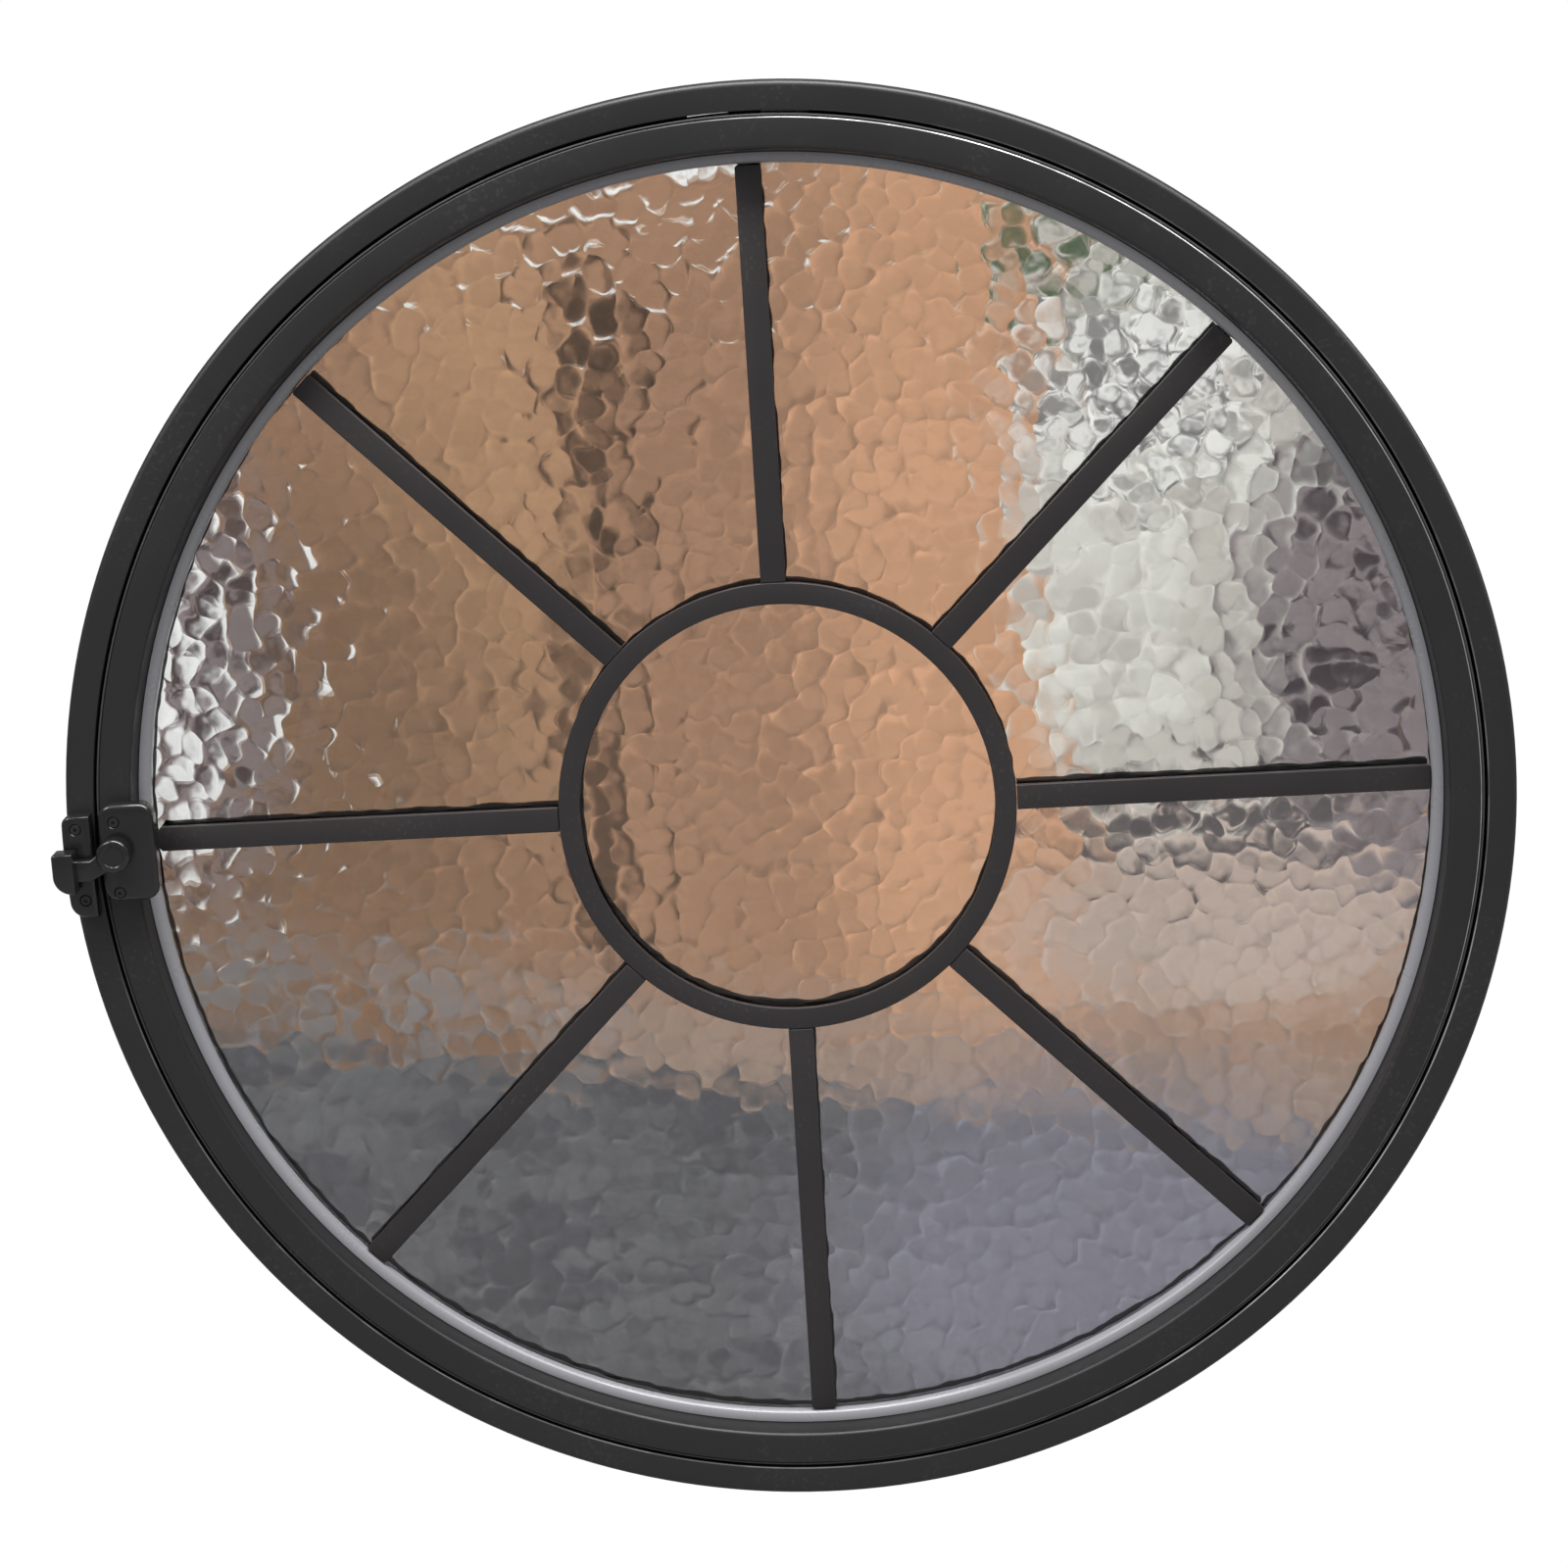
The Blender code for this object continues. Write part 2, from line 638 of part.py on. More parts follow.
def main():
    clear_scene()
    materials = {
        "black": make_material("satin_black", (0.028, 0.027, 0.028), 0.42, 0.1),
        "rubber": make_material("black_rubber", (0.02, 0.02, 0.02), 0.8),
        "grey_rubber": make_material("grey_rubber", (0.42, 0.42, 0.44), 0.5),
        "glass": make_material("glass", (0.8, 0.72, 0.64), 0.05, transmission=0.9),
        "aluminium": make_material("aluminium", (0.6, 0.6, 0.6), 0.35, 1.0),
        "steel": make_material("blackened_steel", (0.06, 0.06, 0.062), 0.4, 0.8),
        "nylon": make_material("black_nylon", (0.03, 0.03, 0.03), 0.55),
    }
    sash_axis = make_axis("sash_axis", (0, PIVOT_Y, 0))
    latch_axis = make_axis("latch_axis", (SPINDLE_X, HOUSING_FRONT, 0), sash_axis)
    frame = build_frame(materials)
    sash = build_sash(materials, sash_axis)
    build_glazing(materials, sash_axis)
    build_lattice(materials, sash_axis)
    build_pivots(materials, frame, sash, sash_axis)
    build_keep(materials, frame)
    build_housing(materials, sash, sash_axis)
    build_latch(materials, latch_axis)


main()
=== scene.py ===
"""Looks of the round pivot window: a ring frame and a glazed ring sash, in satin black.

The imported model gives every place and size. Rings, panes, lattice bars, screws and the outside of
the latch are modelled again with round edges and full detail. The pivots' pins, bushes and
washers, the setting blocks and the latch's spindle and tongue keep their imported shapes. Each
material slot has one finish.
"""

import json
import logging
import math
from dataclasses import dataclass, field
from enum import Enum
from typing import Iterable, Optional, Sequence, Union

import bmesh
import bpy
from mathutils import Matrix, Vector

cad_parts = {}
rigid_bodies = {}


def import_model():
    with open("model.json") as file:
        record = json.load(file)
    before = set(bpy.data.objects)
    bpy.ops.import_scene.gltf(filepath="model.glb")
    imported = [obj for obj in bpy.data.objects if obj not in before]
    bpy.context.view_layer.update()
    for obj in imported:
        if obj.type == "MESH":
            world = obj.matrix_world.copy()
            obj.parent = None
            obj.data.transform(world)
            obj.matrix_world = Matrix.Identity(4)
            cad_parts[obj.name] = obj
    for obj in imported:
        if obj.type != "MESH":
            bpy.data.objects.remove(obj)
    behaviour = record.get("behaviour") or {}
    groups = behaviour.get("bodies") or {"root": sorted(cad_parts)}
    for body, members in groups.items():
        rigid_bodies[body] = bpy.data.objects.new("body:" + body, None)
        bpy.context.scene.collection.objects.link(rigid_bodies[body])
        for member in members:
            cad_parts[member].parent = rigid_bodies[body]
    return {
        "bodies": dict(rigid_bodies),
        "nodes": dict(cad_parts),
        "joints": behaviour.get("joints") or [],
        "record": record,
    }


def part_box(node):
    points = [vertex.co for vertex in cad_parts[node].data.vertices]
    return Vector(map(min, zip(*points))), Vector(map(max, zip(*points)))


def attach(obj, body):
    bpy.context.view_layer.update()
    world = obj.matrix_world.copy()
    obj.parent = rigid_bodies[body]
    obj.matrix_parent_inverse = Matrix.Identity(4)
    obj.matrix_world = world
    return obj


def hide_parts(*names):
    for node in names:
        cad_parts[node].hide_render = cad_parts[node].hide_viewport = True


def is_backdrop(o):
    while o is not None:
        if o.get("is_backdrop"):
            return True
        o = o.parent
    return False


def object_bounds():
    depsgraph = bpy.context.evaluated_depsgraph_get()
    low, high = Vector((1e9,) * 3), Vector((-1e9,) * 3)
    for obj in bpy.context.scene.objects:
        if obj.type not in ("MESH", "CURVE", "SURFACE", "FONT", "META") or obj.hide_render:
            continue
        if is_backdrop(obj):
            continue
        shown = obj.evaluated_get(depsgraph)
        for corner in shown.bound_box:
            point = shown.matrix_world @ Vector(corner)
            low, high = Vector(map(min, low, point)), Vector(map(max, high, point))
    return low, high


LOG = logging.getLogger("round_window")

MM = 0.001
RING_STEPS = 240
SMOOTH_ANGLE = math.radians(38)
MERGE_REACH = 0.001 * MM
GLASS_IOR = 1.5

Point = tuple[float, float]
Colour = tuple[float, float, float]
Node = bpy.types.Node
Socket = bpy.types.NodeSocket
Input = Union[Socket, float, tuple]


class Body(Enum):
    """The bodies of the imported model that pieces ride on."""

    FRAME = "frame"
    SASH = "sash"
    LATCH = "latch"


class Slot(Enum):
    """The record's material slots."""

    FRAME_PAINT = "frame_paint"
    BAR_PAINT = "bar_paint"
    FITTING_PAINT = "fitting_paint"
    TEXTURED_GLASS = "textured_glass"
    CLEAR_GLASS = "clear_glass"
    GREY_RUBBER = "grey_rubber"
    BLACK_RUBBER = "black_rubber"
    ALUMINIUM = "bare_aluminium"
    STEEL = "blackened_steel"
    NYLON = "black_nylon"


# --------------------------------------------------------------------------------------
# Node trees
# --------------------------------------------------------------------------------------


def from_display(red: int, green: int, blue: int) -> Colour:
    """Turn a colour as a screen shows it, 0 to 255, into the linear values that shaders use."""
    shares = (value / 255 for value in (red, green, blue))
    return tuple(s / 12.92 if s <= 0.04045 else ((s + 0.055) / 1.055) ** 2.4 for s in shares)


class NodeBoard:
    """Adds nodes to one tree, sets their inputs and links them."""

    def __init__(self, tree: bpy.types.NodeTree) -> None:
        """Keep the tree that the nodes go into."""
        self.tree = tree

    def add(self, kind: str, inputs: Optional[dict] = None, **settings: object) -> Node:
        """Add one node.

        Args:
            kind: the node's type, without the ShaderNode prefix.
            inputs: values or output sockets by input name or number.
            settings: the node's own properties.

        Returns:
            The new node.
        """
        node = self.tree.nodes.new("ShaderNode" + kind)
        for name, value in settings.items():
            setattr(node, name, value)
        for name, value in (inputs or {}).items():
            self.feed(node.inputs[name], value)
        return node

    def feed(self, socket: Socket, value: Input) -> None:
        """Give an input a value, or link an output to it.

        Args:
            socket: the input.
            value: an output socket, a number, a vector or a colour.
        """
        if isinstance(value, Socket):
            self.tree.links.new(value, socket)
        elif isinstance(value, tuple) and socket.type == "RGBA" and len(value) == 3:
            socket.default_value = (*value, 1.0)
        else:
            socket.default_value = value

    def math(self, operation: str, *values: Input) -> Socket:
        """One Math node on one to three values, and its output."""
        return self.add("Math", dict(enumerate(values)), operation=operation).outputs[0]

    def vector(self, operation: str, *values: Input) -> Socket:
        """One Vector Math node, and its vector output."""
        return self.add("VectorMath", dict(enumerate(values)), operation=operation).outputs["Vector"]

    def length(self, value: Socket) -> Socket:
        """A vector's length."""
        return self.add("VectorMath", {0: value}, operation="LENGTH").outputs["Value"]

    def scaled(self, value: Socket, factor: Input) -> Socket:
        """A vector times a number."""
        return self.add("VectorMath", {0: value, "Scale": factor}, operation="SCALE").outputs["Vector"]

    def noise(self, place: Socket, scale: Input, detail: float = 0.0) -> Node:
        """One Noise Texture node at a place."""
        return self.add("TexNoise", {"Vector": place, "Scale": scale, "Detail": detail})

    def ease(self, value: Input, low: float, high: float, first: float = 0.0, last: float = 1.0) -> Socket:
        """Map low..high to first..last along a smooth step, and hold it outside."""
        limits = {0: value, 1: low, 2: high, 3: first, 4: last}
        return self.add("MapRange", limits, interpolation_type="SMOOTHSTEP").outputs[0]

    def mix(self, share: Input, first: Input, second: Input, blend: str = "MIX") -> Socket:
        """Mix two colours.

        Args:
            share: how much of the second shows, from 0 to 1.
            first: the colour underneath.
            second: the colour on top.
            blend: how the second is laid over the first.

        Returns:
            The mixed colour.
        """
        node = self.add("Mix", data_type="RGBA", blend_type=blend)
        self.feed(node.inputs["Factor"], share)
        colours = [socket for socket in node.inputs if socket.type == "RGBA"]
        self.feed(colours[0], first)
        self.feed(colours[1], second)
        return next(socket for socket in node.outputs if socket.type == "RGBA")


def surface_film() -> bpy.types.NodeTree:
    """The shared skin of every painted, rubber or metal piece: grain, cloudy sheen and fine dust.

    Returns:
        The node group, made on the first call.
    """
    name = "SurfaceFilm"
    if name in bpy.data.node_groups:
        return bpy.data.node_groups[name]
    group = bpy.data.node_groups.new(name, "ShaderNodeTree")
    sockets = (
        ("Colour", "NodeSocketColor"),
        ("Dust Colour", "NodeSocketColor"),
        ("Dust", "NodeSocketFloat"),
        ("Roughness", "NodeSocketFloat"),
        ("Spread", "NodeSocketFloat"),
        ("Grain Scale", "NodeSocketFloat"),
    )
    for label, kind in sockets:
        group.interface.new_socket(label, in_out="INPUT", socket_type=kind)
    results = (
        ("Colour", "NodeSocketColor"),
        ("Roughness", "NodeSocketFloat"),
        ("Height", "NodeSocketFloat"),
    )
    for label, kind in results:
        group.interface.new_socket(label, in_out="OUTPUT", socket_type=kind)
    board = NodeBoard(group)
    given = group.nodes.new("NodeGroupInput").outputs
    place = board.add("TexCoord").outputs["Object"]
    cloud_scale, cloud_roughness, speck_scale = 11.0, 0.6, 420.0
    veil_share, dust_dulls = 0.25, 0.4
    grain = board.noise(place, given["Grain Scale"], 1.0).outputs["Fac"]
    clouds = board.noise(place, cloud_scale, 2.0)
    board.feed(clouds.inputs["Roughness"], cloud_roughness)
    cloud = clouds.outputs["Fac"]
    speck = board.noise(place, speck_scale).outputs["Fac"]
    dusty = board.math("MULTIPLY", board.ease(speck, 0.62, 0.74), board.ease(cloud, 0.42, 0.68))
    veil = board.math("MULTIPLY", board.ease(cloud, 0.35, 0.8), veil_share)
    amount = board.math("MULTIPLY", board.math("ADD", dusty, veil), given["Dust"])
    sheen = board.math("MULTIPLY", board.math("SUBTRACT", cloud, 0.5), given["Spread"])
    dulled = board.math("MULTIPLY", amount, dust_dulls)
    rough = board.math("ADD", board.math("ADD", given["Roughness"], sheen), dulled)
    out = group.nodes.new("NodeGroupOutput").inputs
    board.feed(out["Colour"], board.mix(amount, given["Colour"], given["Dust Colour"]))
    board.feed(out["Roughness"], rough)
    board.feed(out["Height"], grain)
    return group


@dataclass(frozen=True)
class PaintedEdgeGlint:
    """A painted highlight on a front corner of a ring: bright metal painted along the arc of it where light
    glints.

    radius and width are the corner's, and sharp is the share of the width that is fully bright.
    towards and reach are the middle and half length of the painted glint in degrees, anticlockwise
    from +X, and fade is how far each end fades out.
    """

    radius: float
    towards: float
    reach: float
    strength: float
    width: float = 0.38 * MM
    sharp: float = 0.6
    fade: float = 14.0

    def mask(self, board: NodeBoard, radius: Socket, heading: Socket) -> Socket:
        """How bright the painted glint shows.

        Args:
            board: the material's nodes.
            radius: how far the place is from the ring's axis.
            heading: the direction there from the axis, 1 long.

        Returns:
            The share, from 0 to the edge's strength.
        """
        turn = math.radians(self.towards)
        middle = (math.cos(turn), 0.0, math.sin(turn))
        away = board.math("ABSOLUTE", board.math("SUBTRACT", radius, self.radius))
        band = board.ease(away, self.sharp * self.width, self.width, 1.0, 0.0)
        facing = board.add("VectorMath", {0: heading, 1: middle}, operation="DOT_PRODUCT").outputs["Value"]
        low, high = (math.cos(math.radians(self.reach + side * self.fade)) for side in (1, -1))
        return board.math("MULTIPLY", band, board.ease(facing, low, high, 0.0, self.strength))


@dataclass(frozen=True)
class FilmFinish:
    """An opaque finish: paint, rubber, nylon or metal under the shared surface film.

    glint_depth is where the painted edge glints fade out towards the back, as two y values.
    """

    name: str
    colour: Colour
    roughness: float
    spread: float = 0.1
    dust: float = 0.06
    dust_colour: Colour = (0.3, 0.28, 0.26)
    grain_scale: float = 900.0
    grain_height: float = 0.02 * MM
    grain_strength: float = 0.25
    metallic: float = 0.0
    coat: float = 0.0
    specular: float = 0.5
    painted_glints: tuple[PaintedEdgeGlint, ...] = ()
    glint_depth: Point = (-7.3 * MM, -7.1 * MM)
    bare: Colour = (0.72, 0.71, 0.70)
    bare_scale: float = 75.0

    def build(self) -> bpy.types.Material:
        """Make the material.

        Returns:
            The finish, with its painted edge glints if it has any.
        """
        material, board, shader = start_material(self.name)
        film = board.add("Group", node_tree=surface_film())
        values = {
            "Colour": self.colour,
            "Dust Colour": self.dust_colour,
            "Dust": self.dust,
            "Roughness": self.roughness,
            "Spread": self.spread,
            "Grain Scale": self.grain_scale,
        }
        for label, value in values.items():
            board.feed(film.inputs[label], value)
        bump = board.add(
            "Bump",
            {
                "Height": film.outputs["Height"],
                "Strength": self.grain_strength,
                "Distance": self.grain_height,
            },
        )
        board.feed(shader.inputs["Base Color"], film.outputs["Colour"])
        board.feed(shader.inputs["Roughness"], film.outputs["Roughness"])
        board.feed(shader.inputs["Normal"], bump.outputs["Normal"])
        shader.inputs["Metallic"].default_value = self.metallic
        if self.painted_glints:
            self.bare_edges(board, shader, film)
        shader.inputs["Coat Weight"].default_value = self.coat
        shader.inputs["Specular IOR Level"].default_value = self.specular
        return material

    def bare_edges(self, board: NodeBoard, shader: Node, film: Node) -> None:
        """Paint highlights on the edges, as bright metal where light glints.

        Args:
            board: the material's nodes.
            shader: its Principled shader.
            film: its surface film, whose colour lies round the painted glints.
        """
        place = board.add("TexCoord").outputs["Object"]
        flat = board.vector("MULTIPLY", place, (1.0, 0.0, 1.0))
        radius, heading = board.length(flat), board.vector("NORMALIZE", flat)
        # Painted highlight: bright metal painted where light glints on the corners, broken up by noise.
        glint_share: Input = 0.0
        for edge in self.painted_glints:
            glint_share = board.math("MAXIMUM", glint_share, edge.mask(board, radius, heading))
        patchy = board.noise(place, self.bare_scale).outputs["Fac"]
        glint_share = board.math("MULTIPLY", glint_share, board.ease(patchy, 0.35, 0.6, 0.45, 1.0))
        depth = board.add("SeparateXYZ", {0: place}).outputs["Y"]
        glint_share = board.math("MULTIPLY", glint_share, board.ease(depth, *self.glint_depth, 1.0, 0.0))
        board.feed(shader.inputs["Base Color"], board.mix(glint_share, film.outputs["Colour"], self.bare))
        board.feed(shader.inputs["Metallic"], glint_share)


@dataclass(frozen=True)
class HammerPattern:
    """Close-set bumps with narrow valleys between them, for both the glass's relief and the painted view
    through it.

    The same nodes run in the mesh's modifier and in the material, so the two always agree. cell is
    the distance from bump to bump, and wobble is how far noise bends their outlines. A bump's
    reach is a share of the cell, and the lean stops growing at rim times that.
    """

    cell: float = 12.5 * MM
    wobble: float = 10 * MM
    wobble_scale: float = 85.0
    reach: float = 0.6
    rim: float = 1.2
    steepness: float = 2.6
    tilt: float = 0.22
    ripple: float = 0.24
    ripple_scale: float = 300.0

    def lay(self, board: NodeBoard, place: Socket) -> tuple[Socket, Socket]:
        """Lay the pattern at a place.

        Args:
            board: the tree to work in, a material's or a modifier's.
            place: the place, in the object's own space.

        Returns:
            The lean there, a vector that is 0 on a bump's top and about 1 long at its rim, and
            how far down the bump's side it is, from 0 to 1.
        """
        middle = (0.5, 0.5, 0.5)
        wobble = board.noise(place, self.wobble_scale).outputs["Color"]
        shift = board.vector("SUBTRACT", wobble, middle)
        moved = board.vector("ADD", place, board.vector("MULTIPLY", shift, (self.wobble,) * 3))
        parts = board.add("SeparateXYZ", {0: moved}).outputs
        flat = board.add("CombineXYZ", {0: parts["X"], 1: parts["Z"]}).outputs[0]
        cells = {"Vector": flat, "Scale": 1 / self.cell}
        bump = board.add("TexVoronoi", cells, voronoi_dimensions="2D").outputs
        away = board.vector("SUBTRACT", flat, bump["Position"])
        away = board.vector("MULTIPLY", away, (1 / (self.reach * self.cell),) * 3)
        share = board.math("MINIMUM", board.length(away), self.rim)
        steep = board.math("POWER", share, self.steepness)
        lean = board.scaled(board.vector("NORMALIZE", away), steep)
        fine = board.noise(place, self.ripple_scale).outputs["Color"]
        for source, strength in ((bump["Color"], self.tilt), (fine, self.ripple)):
            swing = board.vector("SUBTRACT", source, middle)
            lean = board.vector("ADD", lean, board.vector("MULTIPLY", swing, (strength,) * 3))
        leans = board.add("SeparateXYZ", {0: lean}).outputs
        upright = board.add("CombineXYZ", {0: leans["X"], 2: leans["Y"]}).outputs[0]
        return upright, board.math("POWER", board.math("MINIMUM", share, 1.0), 2.0)


HAMMERED = HammerPattern()


class Blotch(Enum):
    """Fields of soft blotches, by how many fit in a metre: right and up."""

    WIDE = (22.0, 20.0)
    FINE = (46.0, 46.0)
    BANDS = (9.0, 60.0)


class Depth(Enum):
    """How far behind the glass a painted field of the surroundings seems to lie, in metres: a bump bends it
    that far.
    """

    NEAR = 15 * MM
    MIDDLE = 28 * MM
    FAR = 70 * MM


class Outlook:
    """What the bumps show at each depth: the bent place and its blotches, each made once."""

    def __init__(self, board: NodeBoard, place: Socket, lean: Socket) -> None:
        """Look through the bumps.

        Args:
            board: the material's nodes.
            place: the place on the pane.
            lean: how the bumps lean there.
        """
        self.board = board
        self.straight = place
        self.lean = lean
        self.places: dict[Depth, Socket] = {}
        self.fields: dict[tuple[Blotch, Depth], Socket] = {}

    def place(self, depth: Depth) -> Socket:
        """The place that shows at a depth.

        Args:
            depth: how far behind the glass.

        Returns:
            The place, in the pane's own space.
        """
        if depth not in self.places:
            bend = self.board.vector("MULTIPLY", self.lean, (depth.value,) * 3)
            self.places[depth] = self.board.vector("SUBTRACT", self.straight, bend)
        return self.places[depth]

    def blots(self, kind: Blotch, depth: Depth) -> Socket:
        """The blotches of one kind at a depth.

        Args:
            kind: which field of blotches.
            depth: how far behind the glass it lies.

        Returns:
            Their noise, about 0.3 to 0.7.
        """
        if (kind, depth) not in self.fields:
            across, up = kind.value
            stretched = self.board.vector("MULTIPLY", self.place(depth), (across, 1.0, up))
            self.fields[kind, depth] = self.board.noise(stretched, 1.0, 1.0).outputs["Fac"]
        return self.fields[kind, depth]


@dataclass(frozen=True)
class PaintedViewPatch:
    """A soft field of painted view in the glass, colour that stands for the lit and shaded surroundings seen
    through it: an ellipse, or a half plane where size is None.

    centre is in metres from the window's centre, right and up, and turn is in degrees,
    anticlockwise. A half plane covers what lies below its centre line before it is turned.
    second is the colour of the field's blotches, and cover says where their edges fade.
    """

    colour: Colour
    centre: Point
    size: Optional[Point] = None
    turn: float = 0.0
    softness: float = 0.3
    strength: float = 1.0
    second: Optional[Colour] = None
    blotch: Blotch = Blotch.WIDE
    cover: Point = (0.42, 0.62)
    depth: Depth = Depth.MIDDLE

    def mask(self, board: NodeBoard, place: Socket) -> Socket:
        """How much of the patch is at a place.

        Args:
            board: the material's nodes.
            place: the place to look up.

        Returns:
            The share, from 0 to the patch's strength.
        """
        wide, high = self.size or (1.0, 1.0)
        fitted = board.add(
            "Mapping",
            {
                "Vector": place,
                "Location": (self.centre[0], 0.0, self.centre[1]),
                "Rotation": (0.0, -math.radians(self.turn), 0.0),
                "Scale": (wide, 1.0, high),
            },
            vector_type="TEXTURE",
        ).outputs[0]
        if self.size is None:
            across = board.add("SeparateXYZ", {0: fitted}).outputs["Z"]
            return board.ease(across, -self.softness, self.softness, self.strength, 0.0)
        return board.ease(board.length(fitted), 1.0 - self.softness, 1.0 + self.softness, self.strength, 0.0)

    def paint(self, outlook: Outlook, under: Input) -> Socket:
        """Lay the patch over what is there.

        Args:
            outlook: what the bumps show.
            under: the colour so far.

        Returns:
            The colour with this patch on top.
        """
        board, colour = outlook.board, self.colour
        if self.second:
            share = board.ease(outlook.blots(self.blotch, self.depth), *self.cover)
            colour = board.mix(share, self.colour, self.second)
        return board.mix(self.mask(board, outlook.place(self.depth)), under, colour)


TAN = from_display(174, 136, 110)
PEACH = from_display(216, 168, 134)
HONEY = from_display(194, 154, 120)
BROWN = from_display(141, 112, 89)
BEIGE = from_display(166, 146, 134)
GREY = from_display(110, 110, 112)
IRON = from_display(92, 91, 95)
ASH = from_display(138, 131, 129)
LILAC = from_display(140, 138, 150)
SILVER = from_display(208, 203, 195)
GLINT_WHITE = from_display(253, 253, 251)
PEARL = from_display(232, 230, 222)
MAUVE = from_display(142, 132, 134)
PLUM = from_display(78, 70, 74)
SAND = from_display(196, 177, 166)
DARK_STREAK = from_display(70, 56, 46)
MOSS = from_display(92, 108, 82)

# Painted view through the glass, from the bottom layer to the top one: colours that stand for the lit and
# shaded surroundings seen through it.
PAINTED_VIEW_PATCHES = (
    PaintedViewPatch(PEACH, (0.105, 0.10), (0.075, 0.46), softness=0.55),
    PaintedViewPatch(HONEY, (-0.158, 0.17), (0.055, 0.17), softness=0.6),
    PaintedViewPatch(BROWN, (-0.285, 0.01), (0.135, 0.24), softness=0.5),
    # Painted view: a dark streak seen through the glass, in two pieces, not dirt on it.
    PaintedViewPatch(DARK_STREAK, (-0.088, 0.215), (0.021, 0.13), softness=0.45, strength=0.9, second=TAN),
    PaintedViewPatch(DARK_STREAK, (-0.108, 0.01), (0.014, 0.11), turn=4.0, softness=0.6, strength=0.75),
    PaintedViewPatch(MAUVE, (-0.335, 0.10), (0.062, 0.14), softness=0.4, strength=0.9, second=PLUM,
              blotch=Blotch.FINE, cover=(0.5, 0.62)),
    # Painted highlight: white sparkles of light on the bumps at the left.
    PaintedViewPatch(GLINT_WHITE, (-0.372, 0.110), (0.050, 0.125), turn=4.0, softness=0.25, depth=Depth.FAR),
    PaintedViewPatch(BEIGE, (0.05, -0.118), None, turn=-7.0, softness=0.03, strength=0.9, depth=Depth.NEAR),
    PaintedViewPatch(ASH, (-0.290, -0.122), (0.190, 0.058), turn=-12.0, softness=0.4, second=BROWN),
    PaintedViewPatch(SILVER, (0.250, 0.13), (0.118, 0.21), softness=0.12, second=PEARL, depth=Depth.NEAR),
    # Painted highlight: white sparkles on the bumps at the upper right, with iron-grey blotches.
    PaintedViewPatch(GLINT_WHITE, (0.205, 0.225), (0.062, 0.060), turn=-35.0, softness=0.6, strength=0.75, second=IRON,
              blotch=Blotch.FINE, cover=(0.44, 0.58)),
    PaintedViewPatch(MAUVE, (0.328, 0.08), (0.070, 0.13), softness=0.35, second=PLUM, cover=(0.48, 0.62)),
    PaintedViewPatch(MOSS, (0.166, 0.305), (0.032, 0.030), softness=0.5, second=SILVER, blotch=Blotch.FINE),
    PaintedViewPatch(SAND, (0.250, -0.080), (0.130, 0.050), softness=0.4, depth=Depth.NEAR),
    PaintedViewPatch(MAUVE, (0.340, -0.030), (0.050, 0.030), softness=0.5),
    PaintedViewPatch(PLUM, (0.230, -0.018), (0.085, 0.021), turn=-4.0, softness=0.6, strength=0.9, second=SAND,
              blotch=Blotch.FINE, cover=(0.52, 0.68)),
    PaintedViewPatch(GREY, (0.0, -0.166), None, turn=-8.5, softness=0.012, second=IRON, blotch=Blotch.BANDS,
              depth=Depth.NEAR),
    PaintedViewPatch(LILAC, (0.150, -0.270), (0.150, 0.10), softness=0.5, strength=0.9, depth=Depth.NEAR),
    # Painted highlight: a white band of glints along the top.
    PaintedViewPatch(GLINT_WHITE, (-0.075, 0.370), (0.085, 0.018), softness=0.3, depth=Depth.FAR),
)


@dataclass(frozen=True)
class TexturedGlassFinish:
    """Hammered glass: a tan ground with painted fields over it that stand for the lit and shaded
    surroundings seen through the glass, and each bump bends them as it bends what lies behind it.

    density is how much light the glass lets through, painted_cloud_light how much painted light varies
    in wide clouds, and painted_upside_light how much brighter a bump's upper side is painted, as light from
    above would make it. side_share is how much a lean to the right takes from that.
    """

    name: str = "hammered_glass"
    ground: Colour = TAN
    cloud_scale: float = 14.0
    painted_cloud_light: float = 0.12
    painted_upside_light: float = 0.075
    side_share: float = 0.6
    density: float = 0.87
    painted_view_patches: tuple[PaintedViewPatch, ...] = PAINTED_VIEW_PATCHES

    def build(self) -> bpy.types.Material:
        """Make the material.

        Returns:
            The glass, with its painted view by place.
        """
        material, board, shader = start_material(self.name)
        place = board.add("TexCoord").outputs["Object"]
        lean, _ = HAMMERED.lay(board, place)
        outlook = Outlook(board, place, lean)
        seen = outlook.place(Depth.FAR)
        cloud = board.noise(seen, self.cloud_scale).outputs["Fac"]
        colour: Input = self.ground
        # Painted view: each patch lays colour that stands for the surroundings seen through the glass.
        for patch in self.painted_view_patches:
            colour = patch.paint(outlook, colour)
        # Painted light: brightness varies in wide clouds, and each bump's upper side is painted lighter, as
        # light from above would make it.
        low, high = self.density - self.painted_cloud_light / 2, self.density + self.painted_cloud_light / 2
        lift = board.ease(cloud, 0.3, 0.7, low, high)
        leans = board.add("SeparateXYZ", {0: lean}).outputs
        slant = board.math("SUBTRACT", leans["Z"], board.math("MULTIPLY", leans["X"], self.side_share))
        lift = board.math("ADD", lift, board.math("MULTIPLY", slant, self.painted_upside_light))
        painted_light = board.add("CombineXYZ", {0: lift, 1: lift, 2: lift}).outputs[0]
        colour = board.mix(1.0, colour, painted_light, "MULTIPLY")
        board.feed(shader.inputs["Base Color"], colour)
        turn_to_glass(shader)
        return material


